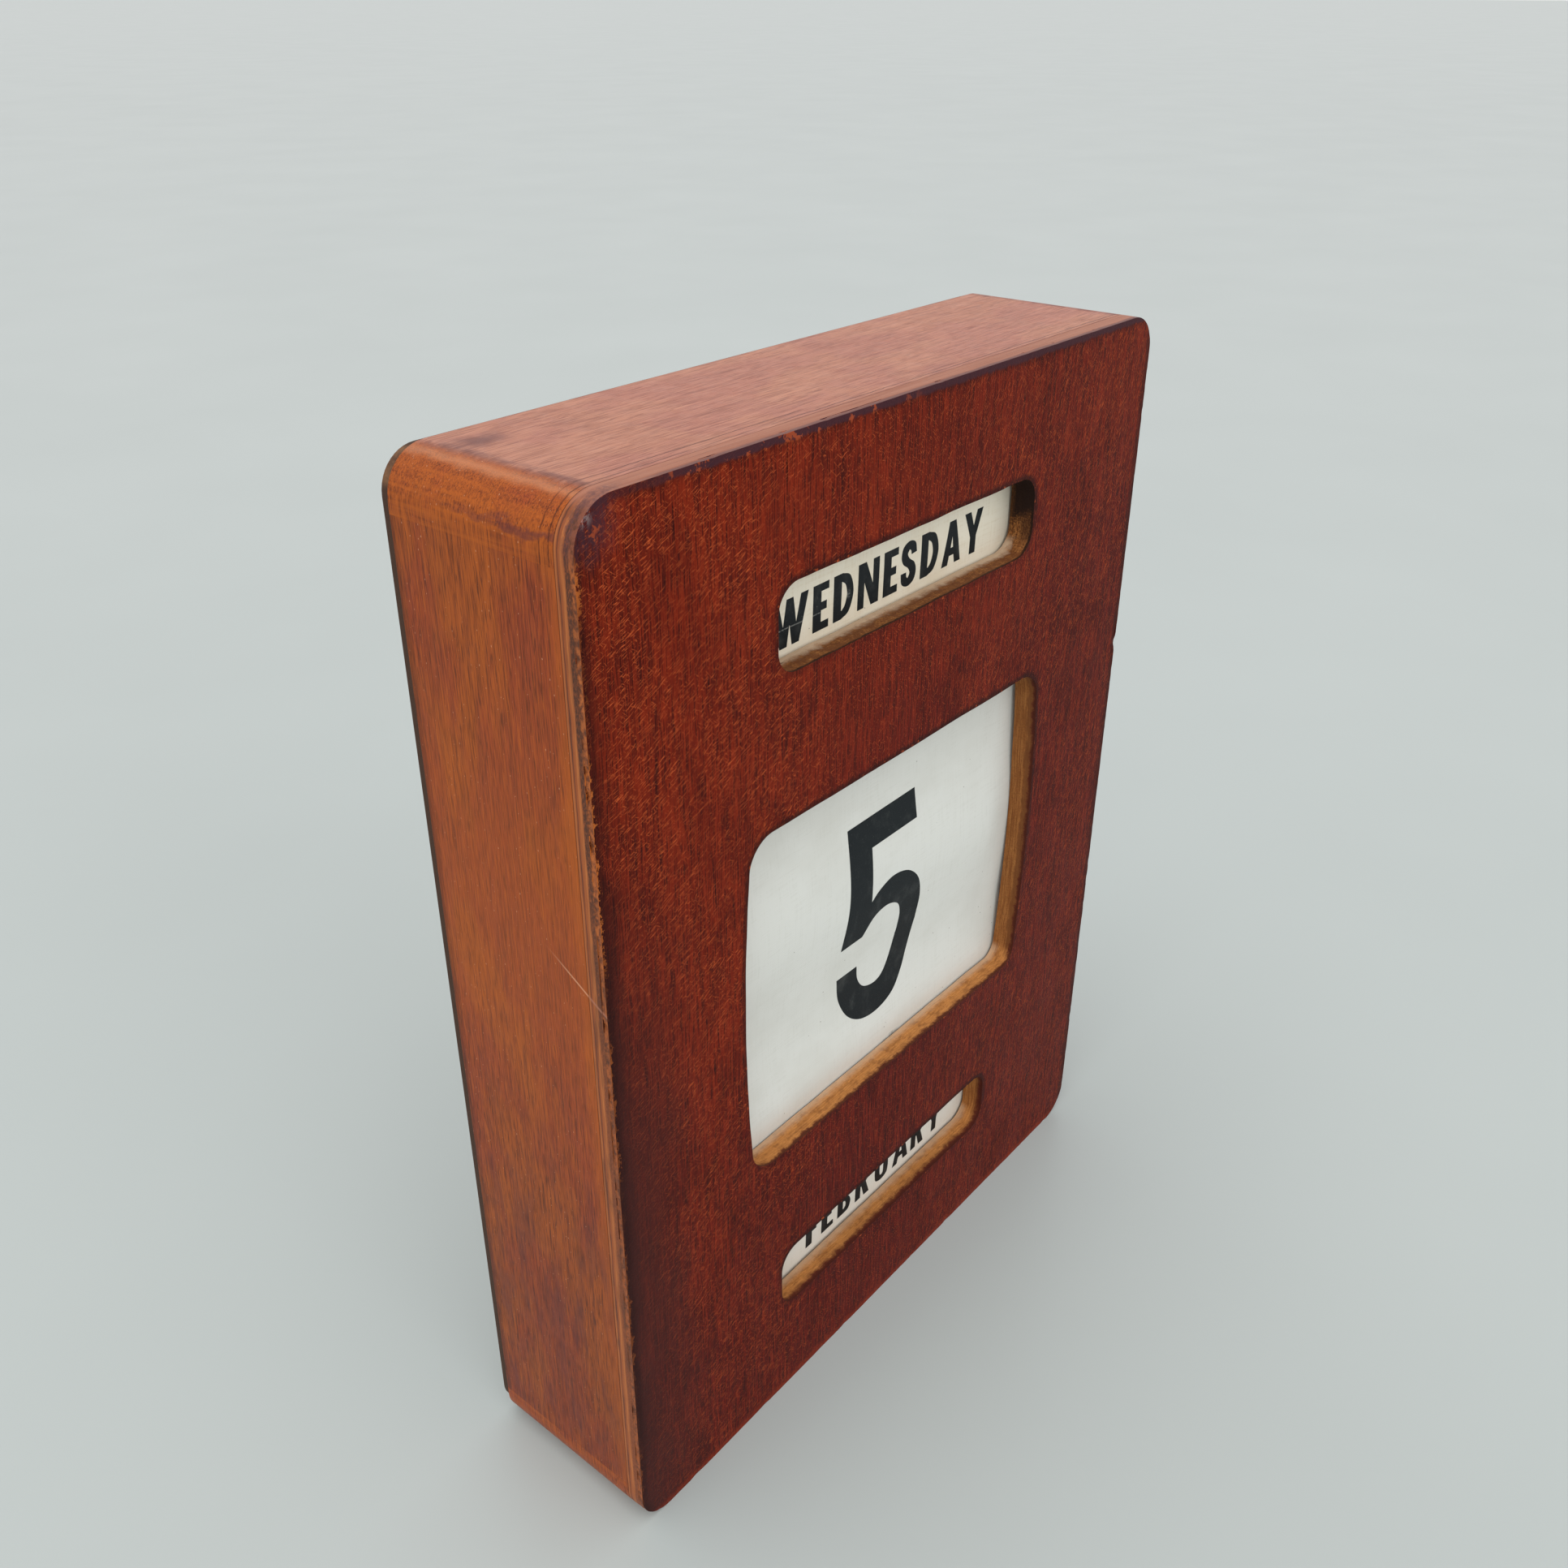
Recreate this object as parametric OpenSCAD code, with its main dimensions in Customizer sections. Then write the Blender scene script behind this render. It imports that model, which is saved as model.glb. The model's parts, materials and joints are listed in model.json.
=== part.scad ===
// Wooden perpetual desk calendar. Three printed bands for the day, the date and the month
// are each wound between two rollers behind a window of a shallow case, and are turned by
// knobs on the case's right-hand side.
// Frame: +X right, +Y back, +Z up. The origin is the middle of the case's underside.

/* [Case] */
// Width of the case, without the knobs
case_w = 200; // [180:1:260]
// Depth of the case, with its front and back panels
case_d = 52; // [46:1:90]
// Thickness of the top, bottom and side boards
board_t = 12; // [9:0.5:18]
// Thickness of the plywood front panel
front_t = 5; // [3:0.5:8]
// Thickness of the plywood lining glued behind the front panel, between the boards
lining_t = 1.6; // [0.8:0.1:2]
// Thickness of the hardboard back panel
back_t = 3; // [2.5:0.5:6]
// How far the back panel's edges stand in from the case's outside
back_inset = 1; // [0:0.5:4]
// Radius of the case's four outer corners, seen from the front
corner_r = 9.5; // [2:0.5:12]

/* [Windows] */
// Width of the day window
day_window_w = 96; // [60:1:130]
// Width of the month window
month_window_w = 94; // [60:1:130]
// Height of the day and month windows
name_window_h = 19.5; // [14:0.5:40]
// Corner radius of the day and month windows
name_window_r = 6; // [1:0.5:7]
// Width of the date window at its top and bottom
date_window_w = 114; // [80:1:130]
// Height of the date window
date_window_h = 92.5; // [60:0.5:160]
// How far each side of the date window bows outwards at mid-height
date_window_bow = 2.5; // [0.5:0.5:5]
// Corner radius of the date window
date_window_r = 7; // [2:0.5:15]

/* [Bands] */
// Thickness of the flat stretch of a band
band_t = 0.3; // [0.2:0.05:0.6]
// Space between the front panel and the bands
band_setback = 2.3; // [2.3:0.1:6]
// How far a band reaches past each side of its window
band_overlap = 11; // [5:1:15]
// Radius of the day or month band wound up whole
name_full_r = 6; // [5.5:0.1:9]
// Radius of the date band wound up whole
date_full_r = 10.2; // [8:0.1:14]
// Day of the week that shows, counted from Monday
day_shown = 3; // [1:1:7]
// Date that shows
date_shown = 5; // [1:1:31]
// Month that shows
month_shown = 2; // [1:1:12]

/* [Rollers] */
// Radius of a roller's wooden dowel
dowel_r = 5; // [4:0.25:5.25]
// End play between a dowel and each side board
dowel_play = 1.5; // [0.5:0.5:4]
// Radius of the steel pin at a roller's left end
pin_r = 1.5; // [1:0.25:2.5]
// Length of the pin inside the dowel
pin_grip = 10; // [6:1:20]
// Wood left behind the blind hole of a pin
pin_wall = 4; // [2:0.5:6]
// Radius of the spindle between a roller and its knob
spindle_r = 2.5; // [1.5:0.25:3.5]
// Length of the spindle inside the dowel
spindle_grip = 14; // [8:1:25]
// Radial running clearance of pins and spindles in the side boards
running_gap = 0.08; // [0.02:0.01:0.1]
// Gap between a band's flat stretch and the coils that it leaves
coil_gap = 0.3; // [0.2:0.1:1]
// Gap between the full coils of neighbouring rollers
roller_gap = 0.8; // [0.5:0.1:5]
// Gap between a full coil and the end board beside it
end_gap = 2; // [1.5:0.5:10]
// Roller to window edge, on the side towards the case's end
outer_reach = 9.75; // [8:0.25:20]
// Roller to window edge, on the side towards the date window
inner_reach = 6.25; // [6.25:0.25:20]
// Date roller to the date window's edge
date_reach = 11.25; // [11:0.25:20]

/* [Knobs] */
// Largest radius of a knob
knob_r = 6.5; // [5:0.25:7.5]
// Length of a knob
knob_l = 10.5; // [9:0.5:16]
// Depth of the spindle inside the knob
knob_seat = 7; // [4:0.5:7.5]
// Thickness of the fibre washer behind a knob
washer_t = 0.6; // [0.4:0.1:1.5]
// Radius of the washer
washer_r = 5.5; // [4:0.5:6.5]
// Play between the washer and the side board
side_play = 0.1; // [0.05:0.05:0.5]

/* [Fasteners] */
// Length of a back panel screw
screw_l = 14; // [10:1:20]
// Radius of a screw's shank
screw_r = 1.5; // [1:0.25:2]
// Radius of a screw's countersunk head
screw_head_r = 3; // [2.25:0.25:4]
// Clearance of a screw in the back panel
screw_gap = 0.15; // [0.05:0.05:0.4]
// Outer screws of a side, from the case's top and bottom
screw_end = 38; // [35:1:60]
// Length of a nail that joins an end board to a side board
nail_l = 30; // [22:1:34]
// Radius of a nail
nail_r = 0.8; // [0.6:0.1:1.2]
// Depth that a nail is punched in, with filler over it
nail_set = 4; // [2:0.5:5]

/* [Hidden] */
$fn = 64;
fuzz = 0.01;           // overlap that keeps cuts clean
arc_steps = 10;        // segments in each rounded corner of the date window
lining_gap = 0.25;     // between the lining and the boards
screw_head_h = 2;      // depth of the countersink
slot_w = 0.8;          // screwdriver slot
slot_h = 0.9;
slot_turn = 37;        // each screw stops at its own angle
nail_head_r = 1.3;
nail_head_h = 1;
nail_rows = [9, 27];   // nails, from the boards' back edges
foot_share = [0.8, 0.12];   // a knob's foot: its radius and height, as shares of the knob's
neck_share = [0.68, 0.3];   // the neck: its radius, and the height at which the grip begins
neck_cove = 0.6;            // slope between the foot and the neck
grip_tuck = 50;             // degrees below its widest circle at which the grip begins
grip_fullness = 0.75;       // under 1 makes the grip fuller than a ball
grip_steps = 12;

// Places along the depth
y_front = -case_d / 2;
y_inner = y_front + front_t;
y_edge = case_d / 2 - back_t;
band_y = y_inner + band_setback;

// Places up the case, from its underside
roller_pitch = name_full_r + date_full_r + roller_gap;
month_low_z = board_t + end_gap + name_full_r;
month_z = month_low_z + outer_reach + name_window_h / 2;
month_high_z = month_z + name_window_h / 2 + inner_reach;
date_low_z = month_high_z + roller_pitch;
date_z = date_low_z + date_reach + date_window_h / 2;
date_high_z = 2 * date_z - date_low_z;
day_low_z = 2 * date_z - month_high_z;
day_z = 2 * date_z - month_z;
day_high_z = 2 * date_z - month_low_z;
case_h = 2 * date_z;

// Widths inside the case
half_w = case_w / 2;
inner_x = half_w - board_t;
dowel_x = inner_x - dowel_play;
day_band_w = day_window_w + 2 * band_overlap;
date_band_w = date_window_w + 2 * date_window_bow + 2 * band_overlap;
month_band_w = month_window_w + 2 * band_overlap;

// Radius of a coil that holds this share of its band
function coil_r(full_r, share) = sqrt(pow(dowel_r, 2) + share * (pow(full_r, 2) - pow(dowel_r, 2)));

// Each roller: name, height, radius of its coil, width of its band
ROLLERS = [
    ["day_upper", day_high_z, coil_r(name_full_r, (day_shown - 0.5) / 7), day_band_w],
    ["day_lower", day_low_z, coil_r(name_full_r, 1 - (day_shown - 0.5) / 7), day_band_w],
    ["date_upper", date_high_z, coil_r(date_full_r, (date_shown - 0.5) / 31), date_band_w],
    ["date_lower", date_low_z, coil_r(date_full_r, 1 - (date_shown - 0.5) / 31), date_band_w],
    ["month_upper", month_high_z, coil_r(name_full_r, (month_shown - 0.5) / 12), month_band_w],
    ["month_lower", month_low_z, coil_r(name_full_r, 1 - (month_shown - 0.5) / 12), month_band_w],
];
ROLLER_PIECES = ["dowel", "coil", "pin", "spindle", "knob", "washer"];

// A roller's axis lies behind the band's back face by the radius of its coil
function axis_y(roller) = band_y + band_t + coil_gap + roller[2];

// ---- helpers ----

// Stands a flat outline up in the XZ plane, its front at y and its thickness going back
module upright(y, thickness) {
    translate([0, y + thickness, 0]) rotate([90, 0, 0]) linear_extrude(thickness) children();
}

// A rectangle with round corners, centred at x 0 and height z
module rounded(w, h, r, z) {
    translate([0, z]) {
        square([w - 2 * r, h], center = true);
        square([w, h - 2 * r], center = true);
        for (x = [-1, 1], y = [-1, 1]) translate([x * (w / 2 - r), y * (h / 2 - r)]) circle(r);
    }
}

// The right half of an outline with a straight top and bottom, a side that bows outwards
// and corners that blend the two, from the top down
function bowed_side(w, h, bow, r) =
    let (
        side_r = (pow(h, 2) / 4 + pow(bow, 2)) / (2 * bow),
        side_x = w / 2 + bow - side_r,
        corner_z = h / 2 - r,
        corner_x = side_x + sqrt(pow(side_r - r, 2) - pow(corner_z, 2)),
        meet = atan2(corner_z, corner_x - side_x)
    )
    concat(
        [for (i = [0 : arc_steps]) let (a = 90 + (meet - 90) * i / arc_steps)
            [corner_x + r * cos(a), corner_z + r * sin(a)]],
        [for (i = [1 : arc_steps - 1]) let (a = meet * (1 - 2 * i / arc_steps))
            [side_x + side_r * cos(a), side_r * sin(a)]],
        [for (i = [0 : arc_steps]) let (a = -meet + (meet - 90) * i / arc_steps)
            [corner_x + r * cos(a), -corner_z + r * sin(a)]]);

module bowed(w, h, bow, r, z) {
    right = bowed_side(w, h, bow, r);
    left = [for (i = [len(right) - 1 : -1 : 0]) [-right[i][0], right[i][1]]];
    translate([0, z]) polygon(concat(right, left));
}

// A rod along X
module rod(x_from, x_to, r) {
    translate([x_from, 0, 0]) rotate([0, 90, 0]) cylinder(h = x_to - x_from, r = r);
}

// Moves what follows onto a roller's axis
module on_axis(roller) {
    translate([0, axis_y(roller), roller[1]]) children();
}

// One place and slot angle for each back panel screw
module at_screws() {
    side_x = half_w - board_t / 2;
    places = concat(
        [for (x = [-side_x, side_x], z = [screw_end, date_z, case_h - screw_end]) [x, z]],
        [for (z = [board_t / 2, case_h - board_t / 2]) [0, z]]);
    for (i = [0 : len(places) - 1])
        translate([places[i][0], case_d / 2, places[i][1]])
            rotate([90, 0, 0]) rotate([0, 0, i * slot_turn]) children();
}

// The shape of a screw, or of its hole with a gap round it, pointing along +Z from its head
module screw_shape(gap = 0) {
    cylinder(h = screw_l, r = screw_r + gap);
    cylinder(h = screw_head_h, r1 = screw_head_r + gap, r2 = screw_r + gap);
}

// One place for each nail, pointing along +Z from its head
module at_nails() {
    for (x = [-1, 1], row = nail_rows) translate([x * (half_w - board_t / 2), y_edge - row, 0]) {
        translate([0, 0, nail_set]) children();
        translate([0, 0, case_h - nail_set]) mirror([0, 0, 1]) children();
    }
}

module nail_shape() {
    cylinder(h = nail_l, r = nail_r);
    cylinder(h = nail_head_h, r = nail_head_r);
}

module bored_for_fasteners() {
    difference() {
        children();
        at_screws() cylinder(h = screw_l, r = screw_r);
        at_nails() nail_shape();
    }
}

// ---- case ----

module front_panel() {
    cut_t = front_t + lining_t + 2;
    lining_w = 2 * (inner_x - lining_gap);
    lining_h = case_h - 2 * (board_t + lining_gap);
    color([0.42, 0.15, 0.10]) difference() {
        union() {
            upright(y_front, front_t) rounded(case_w, case_h, corner_r, date_z);
            translate([-lining_w / 2, y_inner - fuzz, date_z - lining_h / 2])
                cube([lining_w, lining_t + fuzz, lining_h]);
        }
        upright(y_front - 1, cut_t) rounded(day_window_w, name_window_h, name_window_r, day_z);
        upright(y_front - 1, cut_t) rounded(month_window_w, name_window_h, name_window_r, month_z);
        upright(y_front - 1, cut_t)
            bowed(date_window_w, date_window_h, date_window_bow, date_window_r, date_z);
    }
}

// The case's rounded outline over a stretch of its height
module end_slice(z_from) {
    bored_for_fasteners() intersection() {
        upright(y_inner, y_edge - y_inner) rounded(case_w, case_h, corner_r, date_z);
        translate([-half_w, y_inner, z_from]) cube([case_w, y_edge - y_inner, board_t]);
    }
}

module top_board() {
    color([0.70, 0.45, 0.36]) end_slice(case_h - board_t);
}

module bottom_board() {
    color([0.55, 0.30, 0.20]) end_slice(0);
}

module side_slab(x_from) {
    bored_for_fasteners()
        translate([x_from, y_inner, board_t]) cube([board_t, y_edge - y_inner, case_h - 2 * board_t]);
}

module left_board() {
    color([0.58, 0.31, 0.19]) difference() {
        side_slab(-half_w);
        for (roller = ROLLERS) on_axis(roller) rod(-half_w + pin_wall, -inner_x + fuzz, pin_r + running_gap);
    }
}

module right_board() {
    color([0.58, 0.31, 0.19]) difference() {
        side_slab(inner_x);
        for (roller = ROLLERS) on_axis(roller) rod(inner_x - fuzz, half_w + fuzz, spindle_r + running_gap);
    }
}

module back_panel() {
    color([0.26, 0.17, 0.11]) difference() {
        upright(y_edge, back_t)
            rounded(case_w - 2 * back_inset, case_h - 2 * back_inset, corner_r - back_inset, date_z);
        at_screws() screw_shape(screw_gap);
    }
}

module back_screws() {
    color([0.66, 0.62, 0.52]) at_screws() difference() {
        screw_shape();
        translate([-screw_head_r - 1, -slot_w / 2, -fuzz]) cube([2 * screw_head_r + 2, slot_w, slot_h]);
    }
}

module case_nails() {
    color([0.55, 0.55, 0.57]) at_nails() nail_shape();
}

// ---- bands ----

module band(w, z_from, z_to) {
    translate([-w / 2, band_y, z_from]) cube([w, band_t, z_to - z_from]);
}

module day_band() {
    color([0.90, 0.87, 0.78]) band(day_band_w, day_low_z, day_high_z);
}

module date_band() {
    color([0.84, 0.84, 0.82]) band(date_band_w, date_low_z, date_high_z);
}

module month_band() {
    color([0.88, 0.87, 0.84]) band(month_band_w, month_low_z, month_high_z);
}

// ---- rollers ----

module roller_dowel(roller) {
    color([0.80, 0.66, 0.46]) on_axis(roller) difference() {
        rod(-dowel_x, dowel_x, dowel_r);
        rod(-dowel_x - fuzz, -dowel_x + pin_grip, pin_r);
        rod(dowel_x - spindle_grip, dowel_x + fuzz, spindle_r);
    }
}

module roller_coil(roller) {
    color([0.86, 0.84, 0.78]) on_axis(roller) difference() {
        rod(-roller[3] / 2, roller[3] / 2, roller[2]);
        rod(-roller[3] / 2 - 1, roller[3] / 2 + 1, dowel_r);
    }
}

module roller_pin(roller) {
    color([0.62, 0.62, 0.64]) on_axis(roller)
        rod(-half_w + pin_wall + side_play, -dowel_x + pin_grip, pin_r);
}

module roller_spindle(roller) {
    color([0.62, 0.62, 0.64]) on_axis(roller)
        rod(dowel_x - spindle_grip, half_w + side_play + washer_t + knob_seat, spindle_r);
}

module roller_washer(roller) {
    color([0.35, 0.12, 0.10]) on_axis(roller) translate([half_w + side_play, 0, 0]) difference() {
        rod(0, washer_t, washer_r);
        rod(-1, washer_t + 1, spindle_r);
    }
}

// A turned knob: a foot, a hollow neck and a bun-shaped grip, along +Z from its foot
module knob_shape() {
    foot_r = knob_r * foot_share[0];
    foot_h = knob_l * foot_share[1];
    neck_r = knob_r * neck_share[0];
    neck_h = knob_l * neck_share[1];
    foot_and_neck = [[0, 0], [foot_r, 0], [foot_r, foot_h], [neck_r, foot_h + neck_cove], [neck_r, neck_h]];
    grip = [for (i = [0 : grip_steps]) let (a = -grip_tuck + (90 + grip_tuck) * i / grip_steps) [
        knob_r * pow(max(cos(a), 0), grip_fullness),
        neck_h + (knob_l - neck_h) * (sin(a) + sin(grip_tuck)) / (1 + sin(grip_tuck))
    ]];
    rotate_extrude() polygon(concat(foot_and_neck, grip));
}

module roller_knob(roller) {
    color([0.36, 0.14, 0.09]) on_axis(roller) translate([half_w + side_play + washer_t, 0, 0])
        difference() {
            rotate([0, 90, 0]) knob_shape();
            rod(-fuzz, knob_seat, spindle_r);
        }
}

// ---- the part ----

front_panel();
top_board();
bottom_board();
left_board();
right_board();
back_panel();
back_screws();
case_nails();
day_band();
date_band();
month_band();
for (roller = ROLLERS) {
    roller_dowel(roller);
    roller_coil(roller);
    roller_pin(roller);
    roller_spindle(roller);
    roller_knob(roller);
    roller_washer(roller);
}
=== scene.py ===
"""A wooden desk calendar that shows the day, the date and the month on cloth bands wound between rollers.

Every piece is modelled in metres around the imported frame: +X to the knobs, +Y to the back, +Z up.
"""

import json
import logging
import math
from dataclasses import dataclass, field
from enum import Enum
from typing import Any, Callable, Iterable, Optional, Sequence, Union

import bmesh
import bpy
from mathutils import Matrix, Vector, noise


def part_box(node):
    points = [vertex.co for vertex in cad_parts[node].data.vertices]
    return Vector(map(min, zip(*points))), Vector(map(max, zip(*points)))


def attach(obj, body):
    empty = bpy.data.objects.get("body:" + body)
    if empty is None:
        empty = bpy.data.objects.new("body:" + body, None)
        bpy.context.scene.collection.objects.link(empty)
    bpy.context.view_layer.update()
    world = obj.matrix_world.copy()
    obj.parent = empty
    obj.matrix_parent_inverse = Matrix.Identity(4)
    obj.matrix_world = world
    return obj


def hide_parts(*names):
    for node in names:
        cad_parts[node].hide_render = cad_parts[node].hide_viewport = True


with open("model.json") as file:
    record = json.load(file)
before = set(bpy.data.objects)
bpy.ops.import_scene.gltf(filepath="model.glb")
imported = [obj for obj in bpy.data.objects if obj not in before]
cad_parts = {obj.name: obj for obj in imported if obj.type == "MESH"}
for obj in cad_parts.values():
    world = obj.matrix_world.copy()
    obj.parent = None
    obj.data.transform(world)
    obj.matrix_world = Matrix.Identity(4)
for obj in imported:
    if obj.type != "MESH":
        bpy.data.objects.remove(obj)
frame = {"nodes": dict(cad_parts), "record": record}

LOG = logging.getLogger("calendar")
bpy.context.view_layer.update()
MM = 0.001
TINY = 0.02 * MM

Colour = tuple[float, float, float, float]
Point = tuple[float, float]
Operand = Union["Field", float]
Value = Union["Field", float, Sequence[float]]


# ---- shader maths ----


def tone(red: float, green: float, blue: float) -> Colour:
    """Turn a colour as the eye sees it into the linear one that a shader takes.

    Args:
        red: Red, from 0 to 255.
        green: Green, from 0 to 255.
        blue: Blue, from 0 to 255.

    Returns:
        The linear colour with full opacity.
    """
    parts = [part / 255 for part in (red, green, blue)]
    linear = [part / 12.92 if part <= 0.04045 else ((part + 0.055) / 1.055) ** 2.4 for part in parts]
    return (linear[0], linear[1], linear[2], 1.0)


def infix(operation: str, swapped: bool = False) -> Callable[["Field", Operand], "Field"]:
    """Return a method of two operands that adds one Math node.

    Args:
        operation: The node's operation.
        swapped: Whether the field is the second operand.

    Returns:
        The method.
    """

    def method(self: "Field", other: Operand) -> "Field":
        """Return the operation's result."""
        return self.maths(operation, other, self) if swapped else self.maths(operation, self, other)

    return method


class Field:
    """One output socket of a shader, which can be added, multiplied and compared like a number."""

    __add__ = infix("ADD")
    __radd__ = infix("ADD", swapped=True)
    __sub__ = infix("SUBTRACT")
    __rsub__ = infix("SUBTRACT", swapped=True)
    __mul__ = infix("MULTIPLY")
    __rmul__ = infix("MULTIPLY", swapped=True)
    __truediv__ = infix("DIVIDE")
    least = infix("MINIMUM")
    most = infix("MAXIMUM")

    def __init__(self, graph: "Graph", socket: bpy.types.NodeSocket) -> None:
        """Wrap a socket of a graph."""
        self.graph = graph
        self.socket = socket

    def maths(self, operation: str, *values: Operand) -> "Field":
        """Return the output of one Math node with these values."""
        return self.graph.node("ShaderNodeMath", {"operation": operation}, dict(enumerate(values)))

    def __abs__(self) -> "Field":
        """Return the size of self without its sign."""
        return self.maths("ABSOLUTE", self)

    def sine(self) -> "Field":
        """Return the sine of self."""
        return self.maths("SINE", self)

    def root(self) -> "Field":
        """Return the square root of self."""
        return self.maths("SQRT", self)

    def hypot(self, other: "Field") -> "Field":
        """Return how long the step is that goes this far one way and that far across it."""
        return (self * self + other * other).root()

    def clamped(self) -> "Field":
        """Return self held between 0 and 1."""
        return self.most(0.0).least(1.0)

    def sway(self, size: float) -> "Field":
        """Return noise about 0.5 turned into a sway about 0, scaled to this size."""
        return (self - 0.5) * size

    def _step(self, *limits: Operand) -> "Field":
        """Return a soft step, given its low and high ends and its values there."""
        settings = {"interpolation_type": "SMOOTHSTEP"}
        return self.graph.node("ShaderNodeMapRange", settings, dict(enumerate((self, *limits))))

    def rise(self, low: Operand, high: Operand) -> "Field":
        """Return a soft step that is 0 below low and 1 above high."""
        return self._step(low, high, 0.0, 1.0)

    def fall(self, low: Operand, high: Operand) -> "Field":
        """Return a soft step that is 1 below low and 0 above high."""
        return self._step(low, high, 1.0, 0.0)

    def spread(self, gain: float, middle: float = 0.5) -> "Field":
        """Return self with its contrast raised about a middle value, held between 0 and 1."""
        return ((self - middle) * gain + 0.5).clamped()

    def near(self, centre: float, reach: float) -> "Field":
        """Return 1 at centre, falling softly to 0 at reach away on both sides."""
        return abs(self - centre).fall(0.0, reach)

    def twin(self, output: str) -> "Field":
        """Return another output of the same node."""
        return Field(self.graph, self.socket.node.outputs[output])


class Graph:
    """A material's node tree, filled from expressions.

    Its place, x, y and z say where on the piece a point is, in millimetres.
    """

    def __init__(self, name: str) -> None:
        """Start an empty material.

        Args:
            name: Its name.
        """
        self.material = bpy.data.materials.new(name)
        self.material.use_nodes = True
        self.tree = self.material.node_tree
        self.tree.nodes.clear()
        here = self.node("ShaderNodeTexCoord", output="Object")
        self.place = self.node("ShaderNodeVectorMath", {"operation": "SCALE"}, {0: here, "Scale": 1 / MM})
        self.x = self.node("ShaderNodeSeparateXYZ", inputs={0: self.place})
        self.y = self.x.twin("Y")
        self.z = self.x.twin("Z")

    def node(
        self,
        kind: str,
        settings: Optional[dict[str, Any]] = None,
        inputs: Optional[dict[Union[str, int], Value]] = None,
        output: Union[str, int] = 0,
    ) -> Field:
        """Add a node of any kind.

        Args:
            kind: The node's type.
            settings: Its properties, set before its sockets.
            inputs: Values or fields for its sockets, by name or number.
            output: The socket to return.

        Returns:
            The chosen output.
        """
        made = self.tree.nodes.new(kind)
        for key, value in (settings or {}).items():
            setattr(made, key, value)
        for key, value in (inputs or {}).items():
            if isinstance(value, Field):
                self.tree.links.new(value.socket, made.inputs[key])
            else:
                made.inputs[key].default_value = value
        return Field(self, made.outputs[output])

    def turned(self, degrees: float) -> tuple[Field, Field]:
        """Return how far a place is along, and across, a line that climbs at this angle."""
        turn = math.radians(degrees)
        along = self.x * math.cos(turn) + self.z * math.sin(turn)
        return along, self.z * math.cos(turn) - self.x * math.sin(turn)

    def join(self, x: Operand, y: Operand, z: Operand) -> Field:
        """Return the vector with these parts."""
        return self.node("ShaderNodeCombineXYZ", inputs={0: x, 1: y, 2: z})

    def _grid(self, at: Field, size: Sequence[float], shift: Sequence[float]) -> Field:
        """Return a place in steps of this size along each axis, and shifted."""
        steps = tuple(1 / part for part in size)
        return self.node("ShaderNodeVectorMath", {"operation": "MULTIPLY_ADD"}, {0: at, 1: steps, 2: shift})

    def noise(
        self,
        size: Sequence[float],
        detail: float = 2.0,
        rough: float = 0.5,
        seed: float = 0.0,
        at: Optional[Field] = None,
    ) -> Field:
        """Return cloudy noise about 0.5.

        Args:
            size: How long its blotches are along each axis, in millimetres.
            detail: How many finer layers it has.
            rough: How strong the finer layers are.
            seed: Shifts it, so that no two patterns agree.
            at: Where it is read, if not at the place on the piece.

        Returns:
            The noise, mostly between 0.25 and 0.75.
        """
        grid = self._grid(at or self.place, size, (seed, seed * 1.7, seed * 2.3))
        inputs = {"Vector": grid, "Scale": 1.0, "Detail": detail, "Roughness": rough}
        return self.node("ShaderNodeTexNoise", {"noise_dimensions": "3D"}, inputs)

    def dots(self, spacing: float, seed: float) -> Field:
        """Return the distance to scattered points, as a share of their spacing."""
        grid = self._grid(self.place, (spacing,) * 3, (seed, seed * 1.3, seed * 2.1))
        inputs = {"Vector": grid, "Scale": 1.0}
        return self.node("ShaderNodeTexVoronoi", {"feature": "F1"}, inputs, "Distance")

    def mix(self, first: Value, second: Value, share: Operand) -> Field:
        """Return a colour between two others, with this share of the second."""
        settings = {"data_type": "RGBA", "clamp_factor": True}
        return self.node("ShaderNodeMix", settings, {0: share, 6: first, 7: second}, 2)

    def layers(self, base: Value, *coats: tuple[Value, Operand]) -> Value:
        """Return a colour with others laid over it.

        Args:
            base: The colour at the bottom.
            coats: Each next colour, with the share of it that shows.

        Returns:
            The colour on top.
        """
        for colour, share in coats:
            base = self.mix(base, colour, share)
        return base

    def finish(
        self,
        colour: Value,
        rough: Operand,
        relief: Optional[Field] = None,
        depth: float = 0.0,
        strength: float = 1.0,
        gloss: float = 0.5,
        metal: Operand = 0.0,
    ) -> bpy.types.Material:
        """End the material in its surface shader.

        Args:
            colour: The base colour.
            rough: The roughness.
            relief: A height of 0 to 1 for the bumps, if there are any.
            depth: How deep the bumps are, in millimetres.
            strength: How much of them shows.
            gloss: How strongly the surface mirrors.
            metal: How metallic it is.

        Returns:
            The finished material.
        """
        inputs: dict[Union[str, int], Value] = {"Base Color": colour, "Roughness": rough}
        inputs |= {"Specular IOR Level": gloss, "Metallic": metal}
        if relief is not None:
            bump = {"Strength": strength, "Distance": depth * MM, "Height": relief}
            inputs["Normal"] = self.node("ShaderNodeBump", inputs=bump)
        shader = self.node("ShaderNodeBsdfPrincipled", inputs=inputs)
        end = self.tree.nodes.new("ShaderNodeOutputMaterial")
        self.tree.links.new(shader.socket, end.inputs["Surface"])
        return self.material


# ---- finishes ----


class Grain(Enum):
    """The way the wood's fibres run."""

    UPRIGHT = "upright"
    LEVEL = "level"

    def sizes(self, across: float, along: float) -> tuple[float, float, float]:
        """Return a grain pattern's size along each axis, in millimetres."""
        return (across, across, along) if self is Grain.UPRIGHT else (along, across, across)


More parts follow.
